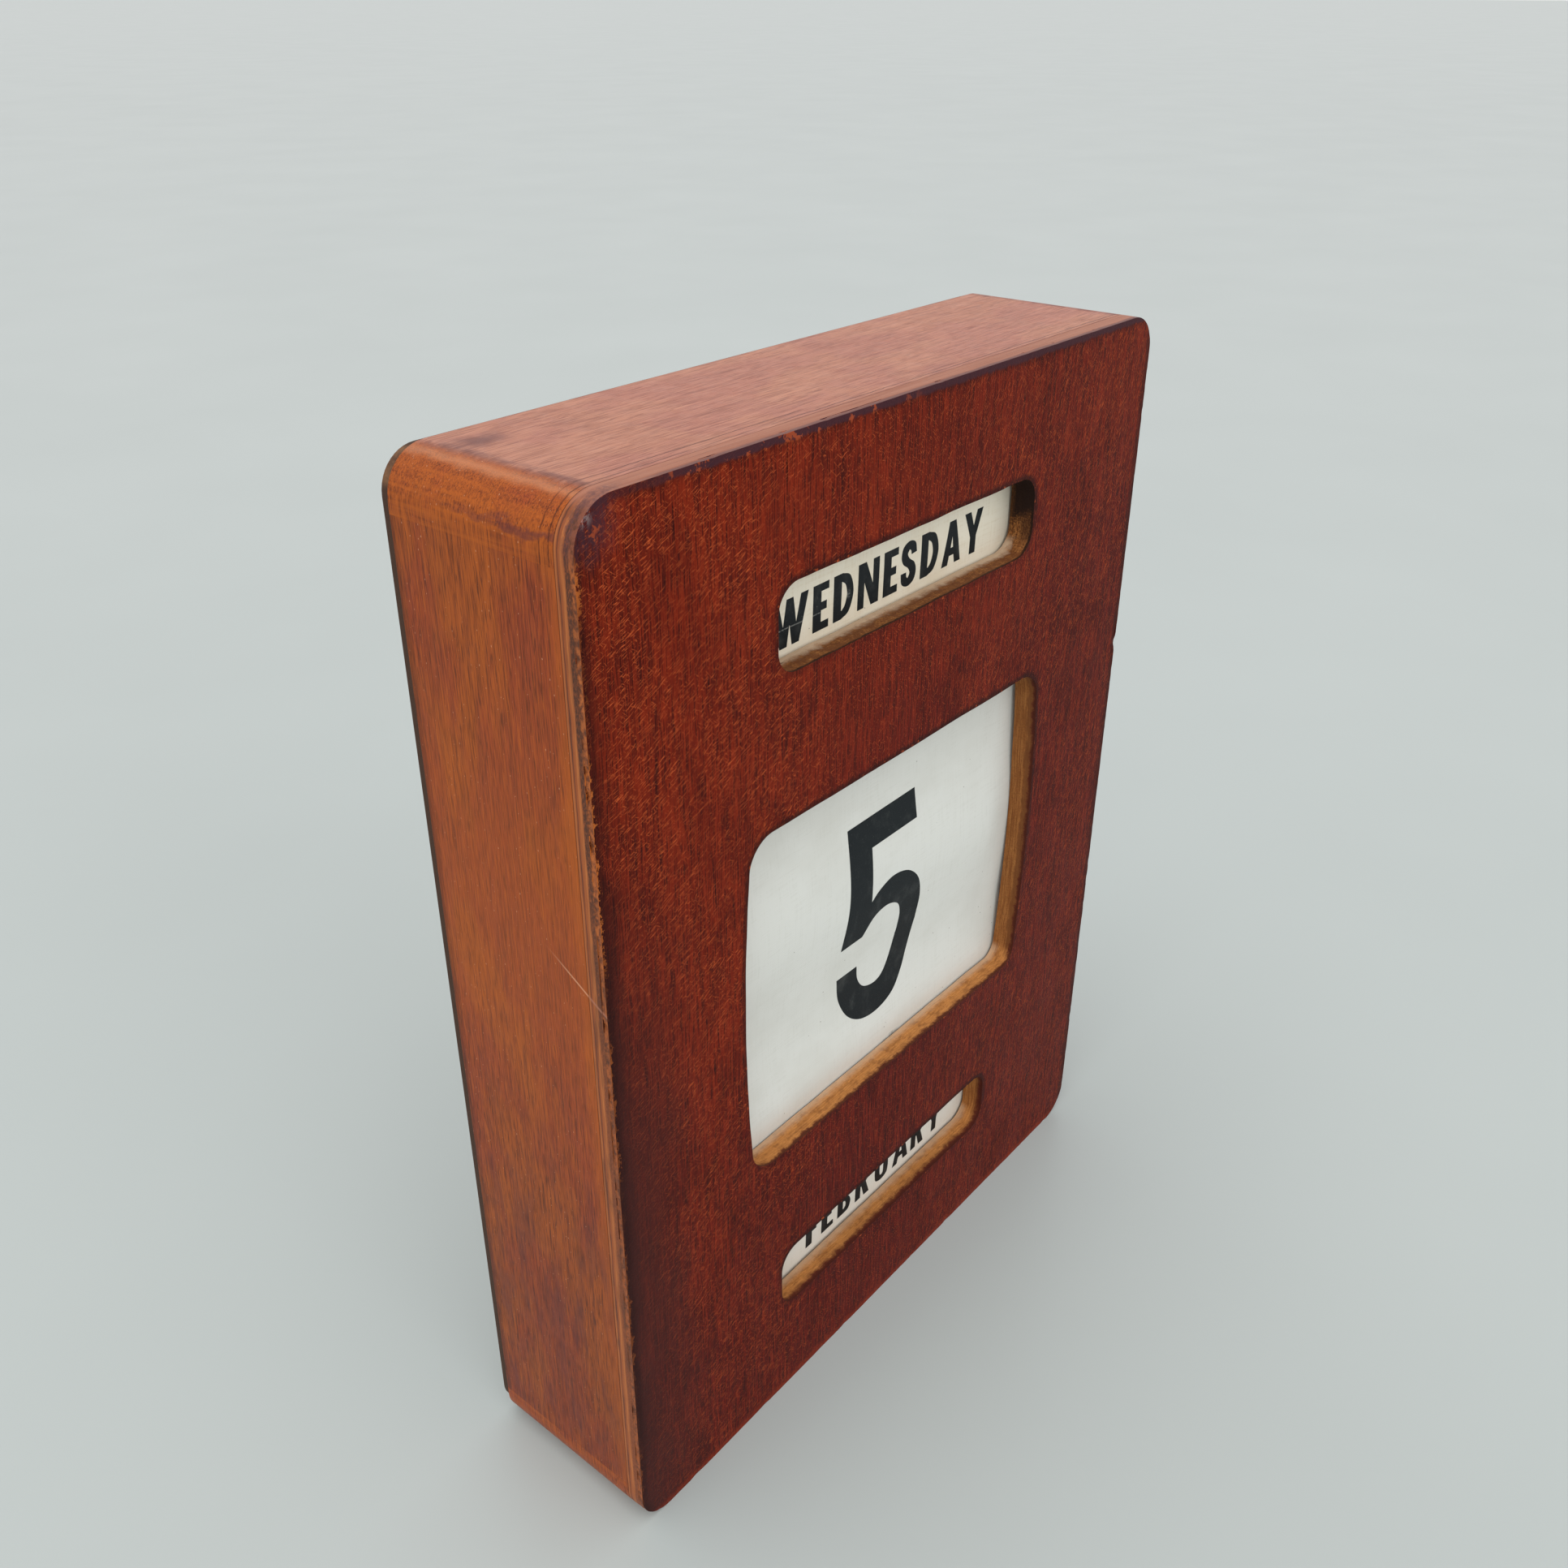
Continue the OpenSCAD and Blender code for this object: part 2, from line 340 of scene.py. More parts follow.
@dataclass(frozen=True)
class CaseSize:
    """The case's faces, in millimetres, which the finishes measure their wear from."""

    left: float
    right: float
    front: float
    back: float
    base: float
    top: float
    corner: float = 9.5
    board: float = 12.0
    panel: float = 5.0
    scratch_height: float = 157.0
    scratch_slope: float = 0.62

    @classmethod
    def from_frame(cls) -> "CaseSize":
        """Read the case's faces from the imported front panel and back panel."""
        low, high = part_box("front_panel")
        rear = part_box("back_panel")[1].y
        return cls(*(size / MM for size in (low.x, high.x, low.y, rear, low.z, high.z)))

    def above_scratch(self, g: Graph) -> Field:
        """Return how far above the long slanting scratch in the left side a place is."""
        return g.z - self.scratch_height - (g.y - self.front) * self.scratch_slope


@dataclass(frozen=True)
class LacqueredFace:
    """Red-brown stained plywood under an old lacquer that has crazed into fine slanting lines.

    Each row of crazing has its slope in degrees, its lines' width and length, and its seed. The nick's
    place is measured from the left edge and from the floor.
    """

    case: CaseSize
    windows: tuple["Window", ...]
    name: str = "mahogany_front"
    orange: Colour = tone(125, 35, 12)
    purple: Colour = tone(94, 17, 9)
    deep: Colour = tone(68, 13, 9)
    dark: Colour = tone(34, 10, 9)
    bright: Colour = tone(146, 50, 24)
    # Pale chips, and the pale crazing lines, which are painted glints of the gloss.
    fleck: Colour = tone(186, 84, 42)
    gold: Colour = tone(186, 102, 46)
    plum: Colour = tone(66, 38, 46)
    grease: Colour = tone(62, 30, 28)
    scuff: Colour = tone(176, 152, 148)
    nick: Point = (76.0, 71.0)
    crazing: tuple[tuple[float, float, float, float], ...] = (
        (26, 0.18, 2.0, 0.0),
        (58, 0.18, 2.0, 40.0),
        (-40, 0.2, 1.2, 80.0),
    )

    def make(self) -> bpy.types.Material:
        """Draw the stained face.

        Returns:
            The finished material.
        """
        g = Graph(self.name)
        drift = g.noise((42, 42, 60), 3.0)
        patch = g.noise((8, 8, 17), 4.0, 0.6, 7.0)
        fibre = g.noise((0.34, 6, 10), 3.0, 0.75, 3.0)
        pores = g.noise((0.24, 4, 4.6), 1.0, 0.5, 11.0).rise(0.58, 0.66)
        # Orange and lighter towards the upper left, purple and darker towards the lower right: painted light
        # over the stain's random tone.
        warm_and_lit = (drift.sway(2.2) - g.x * 0.0056 + g.z * 0.006 - 0.62).clamped()
        craze_glints = self._craze(g)
        colour = g.layers(
            self.purple,
            (self.orange, warm_and_lit),
            (self.deep, patch.spread(2.6, 0.56) * 0.64),
            (self.bright, fibre.spread(6.0, 0.6) * 0.65),
            (self.dark, fibre.spread(-6.0, 0.42) * 0.85),
            (self.dark, g.noise((1.4, 6, 26), 2.0, 0.6, 33.0).spread(-4.0, 0.38) * 0.4),
            (self.dark, pores * 0.75),
            # The crazing drawn pale: painted glints of the lacquer's gloss.
            (self.fleck, craze_glints),
        )
        colour = self._window_borders(g, self._edges(g, colour))
        relief = fibre * 0.45 + craze_glints * 0.6 + g.noise((1.6, 1.6, 2.2), 3.0, 0.6, 5.0) * 0.8
        return g.finish(colour, 0.42 + patch.sway(0.2) + craze_glints * 0.1, relief, 0.09, 0.6, gloss=0.05)

    def _craze(self, g: Graph) -> Field:
        """Draw the lacquer's crazing: short fine lines, flatter at the left and steeper at the right.

        Args:
            g: The material's graph.

        Returns:
            The share of the lines' pale colour, which is painted glints of the lacquer's gloss along the
            cracks.
        """
        warp = g.noise((4, 4, 4), 2.0, 0.5, 21.0).sway(3.0)
        lines = []
        for degrees, width, length, seed in self.crazing:
            along, across = g.turned(degrees)
            lay = g.join(along, g.y * 0.2, across + warp * 0.35)
            lines.append(g.noise((length, 4, width), 1.5, 0.6, seed, lay))
        flat, steep, crossing = lines
        leaning = g.x.rise(-60, 40)
        main = flat * (1 - leaning) + steep * leaning
        amount = g.noise((16, 16, 22), 2.0, 0.5, 9.0).rise(0.3, 0.6)
        amount = amount * (1 - leaning * 0.5) * (0.5 + g.z * 0.0022)
        return (main.rise(0.6, 0.66) + crossing.rise(0.62, 0.68) * 0.6).clamped() * (0.42 + 0.58 * amount)

    def _edges(self, g: Graph, colour: Value) -> Value:
        """Add the stain's dark borders and the wear of the edges.

        Args:
            g: The material's graph.
            colour: The colour of the open face.

        Returns:
            The colour with its edges.
        """
        left = g.x - self.case.left
        top = self.case.top - g.z
        rim = left.least(self.case.right - g.x).least(top.least(g.z - self.case.base))
        ragged = g.noise((3, 3, 7), 4.0, 0.65, 13.0)
        long = g.noise((12, 12, 36), 2.0, 0.5, 17.0)
        chip = g.noise((2.2, 2.2, 2.6), 3.0, 0.7, 19.0)
        spread = g.noise((20, 20, 30), 1.0, 0.5, 23.0)
        flake = g.noise((1.1, 1.1, 1.7), 3.0, 0.75, 43.0)
        low = g.z.fall(110, 205)
        border = (left + ragged.sway(5)).fall(2.5, 7.0)
        border = border * (0.4 + 0.6 * g.z.fall(150, 225)) * long.rise(0.3, 0.5)
        foot = (g.z + ragged.sway(3)).fall(0.9, 3.0)
        line = (top + ragged.sway(1.4)).fall(1.1, 1.9) * (0.35 + 0.65 * g.x.rise(-88, -70))
        top_chips = top.fall(1.4, 2.6) * chip.rise(0.55, 0.62) * g.x.near(-42, 52).rise(0.05, 0.4)
        left_chips = (left + flake.sway(6)).fall(0.2, 0.6) * (spread.rise(0.42, 0.54) * 0.85 + 0.15)
        corner = (left - 3.0).hypot(top - 3.0)
        worn = (corner + ragged.sway(9)).fall(3.5, 11)
        nick_x, nick_z = left - self.nick[0], g.z - self.nick[1]
        nick = (nick_x * nick_x * 0.05 + nick_z * nick_z).root()
        return g.layers(
            colour,
            (self.dark, border * 0.72),
            (self.grease, (left + long.sway(18)).fall(4, 32) * low * 0.68),
            (self.dark, (rim + ragged.sway(3)).fall(0.9, 3.2) * 0.55 * (1 - foot)),
            (self.bright, foot * 0.35),
            (self.plum, line * 0.85),
            (self.fleck, top_chips * 0.6),
            (self.gold, left_chips * (0.9 - low * 0.65)),
            (self.plum, worn * (0.35 + 0.5 * flake.rise(0.4, 0.56))),
            (self.fleck, worn * chip.rise(0.56, 0.64) * 0.5),
            (self.scuff, corner.fall(0.4, 2.4) * flake.rise(0.46, 0.6) * 0.5),
            (self.fleck, nick.fall(0.3, 1.3) * ragged.rise(0.5, 0.6) * 0.5),
        )

    def _window_borders(self, g: Graph, colour: Value) -> Value:
        """Add a dark, chipped rim round each window, mostly above it.

        Args:
            g: The material's graph.
            colour: The colour without the rims.

        Returns:
            The colour with them.
        """
        ragged = g.noise((2.4, 2.4, 2.4), 3.0, 0.7, 51.0)
        for window in self.windows:
            middle = window.centre() / MM
            corner = window.corner / MM
            up = (g.z - middle.z) / (window.height / MM / 2)
            bulge = (1 - up * up).most(0.0) * (window.bow / MM)
            out_x = (abs(g.x - middle.x) - bulge - window.width / MM / 2 + corner).most(0.0)
            out_z = (abs(g.z - middle.z) - window.height / MM / 2 + corner).most(0.0)
            away = out_x.hypot(out_z) - corner + ragged.sway(2.0)
            colour = g.layers(
                colour,
                # A dark band round each window, strongest along its top.
                (self.dark, away.fall(0.4, 1.9) * (0.3 + 0.45 * up.rise(-0.8, 0.8))),
                (self.fleck, away.fall(0.1, 0.5) * ragged.fall(0.3, 0.42) * 0.7),
            )
        return colour


@dataclass(frozen=True)
class PlyEdge:
    """The front panel's cut edge: veneers and a dark glue line, worn pale along the front."""

    case: CaseSize
    name: str = "mahogany_front_edge"
    gold: Colour = tone(178, 98, 42)
    core: Colour = tone(64, 34, 20)
    tan: Colour = tone(146, 74, 32)
    honey: Colour = tone(184, 108, 52)
    pink: Colour = tone(166, 108, 84)
    rose: Colour = tone(146, 84, 58)
    line: Colour = tone(62, 30, 22)
    plum: Colour = tone(86, 50, 52)

    def make(self) -> bpy.types.Material:
        """Draw the edge, tan at the sides and pink along the top, where the pink is painted sheen over the
        wood.

        Returns:
            The finished material.
        """
        g = Graph(self.name)
        top = self.case.top
        depth = g.y - self.case.front
        layer = depth + g.noise((8, 1, 8), 2.0, 0.5, 2.0).sway(0.7)
        fine = g.noise((0.9, 0.35, 0.9), 3.0, 0.7, 5.0)
        streak = g.noise((10, 0.3, 10), 2.0, 0.6, 8.0)
        chips = g.noise((1.1, 1.1, 1.7), 3.0, 0.75, 43.0)
        low = g.z.fall(110, 200)
        speckled = layer.rise(0.9, 1.4) * layer.fall(2.3, 2.8) * fine.spread(4.5, 0.42)
        arris = layer.fall(1.0, 1.7)
        side = g.layers(
            self.tan,
            (self.honey, layer.near(3.0, 0.8) * streak.spread(3.0, 0.46)),
            (self.honey, layer.near(4.6, 0.35) * 0.6),
            (self.core, speckled * (0.9 - low * 0.5)),
            (self.core, arris * chips.spread(-5.0, 0.46) * 0.8),
            (self.gold, arris * chips.spread(5.0, 0.54) * (0.9 - low * 0.6)),
            (self.line, layer.near(4.05, 0.2) * streak.rise(0.3, 0.44) * 0.85),
        )
        # Along the top the edge is pink: painted sheen, as on the top board.
        level = g.layers(
            self.pink,
            (self.rose, g.noise((30, 1, 30), 3.0, 0.6, 12.0).spread(3.0) * 0.8),
            (self.plum, layer.fall(0.7, 1.6) * 0.75 * g.x.rise(-90, -74)),
            (self.line, layer.near(3.2, 0.16) * streak.rise(0.46, 0.58) * 0.4),
        )
        up = (g.z + streak.sway(2)).rise(top - 2.6, top - 0.3)
        corner = g.z.rise(top - 13, top - 6) * g.x.fall(-92, -84) * layer.fall(2.4, 4.2)
        seam = depth.rise(4.7, 4.9) * g.noise((24, 2, 24), 2.0, 0.6, 35.0).rise(0.26, 0.44)
        grime = g.noise((6, 2, 14), 3.0, 0.6, 31.0).rise(0.5, 0.68)
        scratch = self.case.above_scratch(g).near(0.0, 0.6) * g.x.fall(-90, -80)
        colour = g.layers(
            side,
            (level, up),
            (self.plum, corner * chips.spread(4.0, 0.46) * 0.7),
            (self.line, seam * 0.7),
            (self.core, grime * (0.3 + 0.2 * low) * (1 - up)),
            (self.pink, scratch * 0.8),
        )
        return g.finish(colour, 0.5 + fine.sway(0.2), fine * 0.7 + streak * 0.6, 0.1, 0.6, gloss=0.3)


@dataclass(frozen=True)
class CaseBoard:
    """Stained, varnished softwood on the outside, and bare wood inside the case."""

    case: CaseSize
    grain: Grain
    name: str = "case_boards"
    main: Colour = tone(149, 70, 24)
    light: Colour = tone(176, 90, 28)
    rosy: Colour = tone(142, 58, 32)
    dark: Colour = tone(66, 26, 12)
    # The top's tones are the wood's tones made lighter and pinker: painted sheen.
    top_main_with_sheen: Colour = tone(176, 116, 92)
    top_light_with_sheen: Colour = tone(192, 134, 110)
    top_rosy_with_sheen: Colour = tone(172, 110, 94)
    top_dark_with_sheen: Colour = tone(124, 70, 54)
    plum: Colour = tone(88, 42, 44)
    bare: Colour = tone(196, 158, 112)
    # Pale specks and scratches, and also the painted highlight along the rounded corner.
    pale_speck_and_highlight: Colour = tone(214, 156, 120)

    def make(self) -> bpy.types.Material:
        """Draw a board, whose end grain shows round the corners if it lies level. A level board's top is
        drawn in lighter, pinker tones, which are painted sheen.

        Returns:
            The finished material.
        """
        g = Graph(f"{self.name}_{self.grain.value}")
        case = self.case
        colour, fibre, streak = self._varnished(g, Grain.UPRIGHT, self.main, self.light, self.rosy, self.dark)
        if self.grain is Grain.LEVEL:
            # The level board's top in lighter, pinker tones: painted sheen over the wood.
            tones = (self.top_main_with_sheen, self.top_light_with_sheen, self.top_rosy_with_sheen, self.top_dark_with_sheen)
            level, level_fibre, streak = self._varnished(g, Grain.LEVEL, *tones)
            ragged = g.noise((4, 5, 4), 3.0, 0.65, 27.0)
            bend = case.right - case.corner
            ends = (abs(g.x) + ragged.sway(3)).rise(bend - 0.5, bend + 3.5)
            fibre = level_fibre + (fibre - level_fibre) * ends
            colour = self._top_marks(g, g.mix(level, colour, ends), ragged, ends)
        else:
            colour = self._side_marks(g, colour)
        inside = abs(g.x).fall(case.right - case.board + 0.2, case.right - case.board + 0.5)
        for height in (g.z - case.base, case.top - g.z):
            inside = inside * height.rise(case.board - 0.5, case.board - 0.2)
        bare = g.layers(
            self.bare, (self.light, streak.rise(0.4, 0.7) * 0.4), (self.dark, fibre.fall(0.25, 0.45) * 0.25)
        )
        cloud = g.noise((3, 3, 5), 3.0, 0.6, 22.0)
        rough = 0.38 + cloud.sway(0.2) + fibre * 0.08 + inside * 0.35
        return g.finish(g.mix(colour, bare, inside), rough, fibre * 0.7 + cloud * 0.5, 0.08, 0.6, gloss=0.16)

    def _varnished(
        self, g: Graph, grain: Grain, main: Colour, light: Colour, rosy: Colour, dark: Colour
    ) -> tuple[Value, Field, Field]:
        """Draw varnished wood whose grain runs one way.

        Args:
            g: The material's graph.
            grain: The way the grain runs.
            main: The colour of most of the wood.
            light: Its pale streaks.
            rosy: Its redder patches.
            dark: Its pores and dark fibres.

        Returns:
            Its colour, its fibres and its broader streaks.
        """
        fibre = g.noise(grain.sizes(0.4, 10), 3.0, 0.75, 4.0)
        streak = g.noise(grain.sizes(3.4, 90), 3.0, 0.6, 6.0)
        colour = g.layers(
            main,
            (light, streak.spread(2.6) * 0.6),
            (rosy, g.noise((24, 18, 44), 3.0, 0.55, 9.0).rise(0.42, 0.58) * 0.8),
            (dark, g.noise(grain.sizes(1.0, 26), 2.0, 0.6, 24.0).spread(-4.0, 0.4) * 0.36),
            (dark, fibre.spread(-5.4, 0.42) * 0.7),
            (light, fibre.spread(5.4, 0.6) * 0.75),
            (dark, g.noise(grain.sizes(0.24, 4.5), 1.0, 0.5, 14.0).rise(0.58, 0.68) * 0.7),
            (self.pale_speck_and_highlight, g.noise((0.4, 0.4, 0.7), 0.0, 0.5, 18.0).rise(0.8, 0.84) * 0.6),
        )
        return colour, fibre, streak

    def _top_marks(self, g: Graph, colour: Value, ragged: Field, ends: Field) -> Value:
        """Add a level board's end grain, seams, grooves, a dark smudge and a painted highlight along its
        rounded corner.

        Args:
            g: The material's graph.
            colour: The colour of the wood.
            ragged: Noise that frays the marks' edges.
            ends: The share of end grain.

        Returns:
            The colour with the marks.
        """
        case = self.case
        bend = case.right - case.corner
        upper = g.z.rise(case.base + 40, case.top - 40)
        rings = g.noise((5, 26, 1.2), 3.0, 0.6, 29.0)
        arris = (abs(g.x) + ragged.sway(3)).near(bend + 0.6, 2.2) * upper
        # A pale line along the rounded corner: painted highlight.
        bright = (abs(g.x) + ragged.sway(2)).near(bend + 3.6, 1.8) * upper
        crooked = g.noise((4, 9, 4), 4.0, 0.7, 37.0)
        seam = (case.top - g.z - 7.0 + crooked.sway(8)).near(0.0, 1.3) * ends
        smudge = ((g.x - case.left - 15) / 9).hypot((g.y - case.back + 12) / 5.5)
        along = g.noise((40, 3, 3), 2.0, 0.5, 33.0)
        behind = g.y - case.front - case.panel + crooked.sway(0.8)
        groove = behind.near(1.2, 0.32) * along.rise(0.34, 0.46)
        groove = groove + behind.near(3.4, 0.3) * along.fall(0.42, 0.54)
        return g.layers(
            colour,
            (self.light, ends * rings.spread(3.0, 0.55) * 0.6),
            (self.plum, arris * 0.6 * ragged.rise(0.3, 0.6)),
            (self.pale_speck_and_highlight, bright * 0.3),
            (self.plum, seam * (g.y + crooked.sway(20)).fall(-14, 16) * 0.6),
            (self.plum, (smudge + ragged.sway(0.8)).fall(0.1, 1.0) * 0.7),
            (self.dark, groove * 0.75),
        )

    def _side_marks(self, g: Graph, colour: Value) -> Value:
        """Add an upright board's bruises, lighter front, darker foot, long scratch and greasy rear edge.

        Args:
            g: The material's graph.
            colour: The colour of the wood.

        Returns:
            The colour with the marks.
        """
        case = self.case
        depth = g.y - case.front
        low = g.z.fall(40, 150)
        bruise = g.noise((5, 5, 26), 3.0, 0.6, 41.0)
        ragged = g.noise((4, 4, 6), 3.0, 0.65, 27.0)
        scratch = case.above_scratch(g).near(0.0, 0.45) * depth.fall(8, 17) * g.x.fall(-90, -80)
        return g.layers(
            colour,
            (self.light, g.z.near(170, 78) * 0.3),
            (self.plum, bruise.rise(0.46, 0.66) * (0.1 + 0.34 * low)),
            (self.light, (depth - case.panel + ragged.sway(3)).fall(0.5, 4.0) * 0.4),
            (self.dark, low * 0.18),
            (self.pale_speck_and_highlight, scratch * 0.7),
            (self.dark, (case.back - 3 - g.y + ragged.sway(2)).fall(0.4, 2.4) * 0.45),
        )


@dataclass(frozen=True)
class BarePly:
    """Raw golden plywood, cut by a fret saw and browned by hands and dust.

    A window's floor ends between two heights, and two more part it from the window above. Heights
    are in millimetres, from the lowest window up.
    """

    case: CaseSize
    name: str = "mahogany_front_cut"
    gold: Colour = tone(158, 94, 42)
    honey: Colour = tone(202, 138, 76)
    brown: Colour = tone(104, 60, 32)
    pale: Colour = tone(206, 180, 152)
    stain: Colour = tone(78, 28, 20)
    grime: Colour = tone(34, 20, 16)
    floors: tuple[Point, ...] = ((31.5, 34.0), (85.0, 88.0), (212.0, 214.5))
    gaps: tuple[Point, ...] = ((60.0, 64.0), (195.0, 200.0))

    def make(self) -> bpy.types.Material:
        """Draw the sawn wood, palest on the windows' floors and dirtiest in the highest window.

        Returns:
            The finished material.
        """
        g = Graph(self.name)
        depth = g.y - self.case.front
        strand = g.noise((7, 0.32, 7), 3.0, 0.7, 3.0)
        fuzz = g.noise((0.5, 0.5, 0.5), 3.0, 0.75, 6.0)
        ragged = g.noise((2.6, 2.6, 2.6), 3.0, 0.65, 9.0)
        blotch = g.noise((3.4, 1.4, 3.4), 3.0, 0.7, 15.0)
        edge = depth + ragged.sway(2.4) + fuzz.sway(1.6)
        month_floor, date_floor, day_floor = (g.z.fall(*ends) for ends in self.floors)
        middle, high = (g.z.rise(*ends) for ends in self.gaps)
        floor = day_floor * high + month_floor + date_floor * middle
        lower = floor * (1 - high)
        at_right = g.x.rise(44, 50) * (1 - floor)
        spot = g.x.rise(36, 43) * (g.z + fuzz.sway(5) + depth * 0.6).rise(219, 223)
        colour = g.layers(
            self.gold,
            (self.honey, strand.spread(3.0)),
            (self.brown, strand.spread(-3.0, 0.4) * 0.6),
            (self.brown, fuzz.spread(3.4, 0.58) * 0.55),
            (self.honey, lower * 0.4),
            (self.brown, lower * blotch.rise(0.46, 0.66) * 0.5),
            (self.brown, at_right * (0.3 + fuzz * 0.3)),
            (self.brown, edge.fall(2.2, 2.9) * at_right * 0.7),
            (self.grime, edge.fall(2.4, 4.2) * at_right * high * 0.6),
            (self.grime, high * fuzz.spread(4.0, 0.5) * 0.65),
            (self.brown, high * floor * (0.4 + 0.5 * ragged.rise(0.4, 0.6))),
            (self.pale, high * floor * (depth + ragged.sway(4)).rise(3.2, 5.6) * 0.85),
            (self.pale, (1 - high) * floor * (depth + ragged.sway(2)).rise(3.6, 6.4) * 0.6),
            (self.stain, edge.fall(0.5, 1.6) * (1 - high) * 0.9),
            (self.stain, edge.fall(1.0, 2.6) * g.z.fall(54, 58) * 0.85),
            (self.grime, (depth + ragged.sway(1.4)).fall(0.35, 0.9) * (0.3 + 0.6 * high)),
            (self.grime, spot * (1 - depth.rise(5.0, 6.4) * 0.35) * 0.97),
        )
        return g.finish(colour, 0.72 + fuzz.sway(0.2), strand * 0.8 + fuzz * 0.7, 0.16, 0.8, gloss=0.12)


@dataclass(frozen=True)
class Hardboard:
    """Brown hardboard with its woolly fibres, a dark rim and a few scratches."""

    case: CaseSize
    name: str = "hardboard"
    brown: Colour = tone(98, 64, 40)
    dark: Colour = tone(58, 36, 24)
    pale: Colour = tone(132, 94, 62)
    scratches: tuple[Point, ...] = ((38, 8.0), (-64, 12.0))

    def make(self) -> bpy.types.Material:
        """Draw the board, with scratches at each slope in degrees from its seed.

        Returns:
            The finished material.
        """
        g = Graph(self.name)
        wool = g.noise((0.9, 0.9, 0.9), 5.0, 0.78, 2.0)
        mottle = g.noise((5, 5, 5), 4.0, 0.7, 6.0)
        cloud = g.noise((46, 46, 60), 4.0, 0.6, 4.0)
        colour = g.layers(
            self.brown,
            (self.dark, wool.spread(3.2, 0.56) * 0.6),
            (self.pale, wool.spread(-3.6, 0.38) * 0.6),
            (self.dark, mottle.spread(3.0, 0.6) * 0.4),
            (self.dark, cloud.rise(0.46, 0.66) * 0.25),
        )
        for degrees, seed in self.scratches:
            along, across = g.turned(degrees)
            scratch = g.noise((60, 1, 0.5), 1.0, 0.5, seed, g.join(along, g.y, across)).rise(0.74, 0.78)
            colour = g.mix(colour, self.pale, scratch * mottle.rise(0.4, 0.55) * 0.7)
        upright = (self.case.top - 1 - g.z).least(g.z - self.case.base - 1)
        rim = (self.case.right - 1 - abs(g.x)).least(upright)
        colour = g.layers(
            colour,
            (self.pale, (rim + mottle.sway(4)).fall(0.4, 2.2) * 0.4),
            (self.dark, rim.fall(0.1, 0.6) * 0.9),
        )
        return g.finish(colour, 0.66 + wool.sway(0.2), wool, 0.14, 0.8, gloss=0.3)


@dataclass(frozen=True)
class BandCloth:
    """Glazed cotton cloth that the names and numbers are printed on."""

    name: str
    ground: Colour
    soiled: Colour
    fleck: Colour = tone(96, 84, 70)
    thread: float = 0.42
    smudge: Optional[Point] = None
    darker_from: float = 0.0
    gloss: float = 0.5

    def make(self) -> bpy.types.Material:
        """Draw the woven cloth, soiled in clouds and dots.

        Returns:
            The finished material.
        """
        g = Graph(self.name)
        weft = (g.z * (2 * math.pi / self.thread) + g.noise((6, 6, 2), 1.0, 0.5, 3.0).sway(5)).sine()
        warp = (g.x * (2 * math.pi / self.thread) + g.noise((2, 6, 6), 1.0, 0.5, 5.0).sway(5)).sine()
        slub = g.noise((9, 2, 0.5), 2.0, 0.6, 7.0) * 0.5 + g.noise((0.5, 2, 9), 2.0, 0.6, 9.0) * 0.5
        cloud = g.noise((30, 20, 22), 4.0, 0.6, 11.0)
        colour = g.layers(
            self.ground,
            (self.soiled, cloud.rise(0.42, 0.72) * 0.5),
            (self.soiled, slub.rise(0.5, 0.64) * 0.35),
            (self.fleck, g.dots(4.2, 2.0).fall(0.022, 0.05) * cloud.rise(0.4, 0.5) * 0.75),
        )
        if self.smudge is not None:
            mark = ((g.x - self.smudge[0]) / 4.2).hypot((g.z - self.smudge[1]) / 1.1).fall(0.2, 1.1)
            colour = g.mix(colour, self.fleck, mark * slub.rise(0.42, 0.56) * 0.6)
        # The cloth grows darker and browner towards its right end, from this X on.
        if self.darker_from:
            end_darkening = g.x.rise(self.darker_from, self.darker_from + 14)
            colour = g.mix(colour, self.fleck, end_darkening * (0.2 + cloud * 0.4))
        weave = weft * warp * 0.5 + 0.5
        relief = weave * 0.35 + slub * 0.8 + g.noise((40, 6, 2.4), 2.0, 0.5, 15.0) * 1.4
        return g.finish(colour, self.gloss + cloud.sway(0.15), relief, 0.06, 0.4, gloss=0.35)


@dataclass(frozen=True)
class CoilCloth:
    """The same cloth wound up, with its turns showing at the ends of the coil."""

    cloth: BandCloth
    centre: Point
    name: str
    pitch: float = 0.3

    def make(self) -> bpy.types.Material:
        """Draw the turns as rings about the roller's axis.

        Returns:
            The finished material.
        """
        g = Graph(self.name)
        radius = (g.y - self.centre[0]).hypot(g.z - self.centre[1])
        rings = (radius * (2 * math.pi / self.pitch)).sine() * 0.5 + 0.5
        slub = g.noise((0.5, 6, 6), 2.0, 0.6, 9.0)
        colour = g.layers(
            self.cloth.ground,
            (self.cloth.soiled, rings * 0.5 + slub * 0.3),
            (self.cloth.fleck, g.dots(4.2, 5.0).fall(0.02, 0.05) * 0.7),
        )
        return g.finish(colour, 0.6 + slub.sway(0.1), rings * 0.6 + slub, 0.08, 0.5)


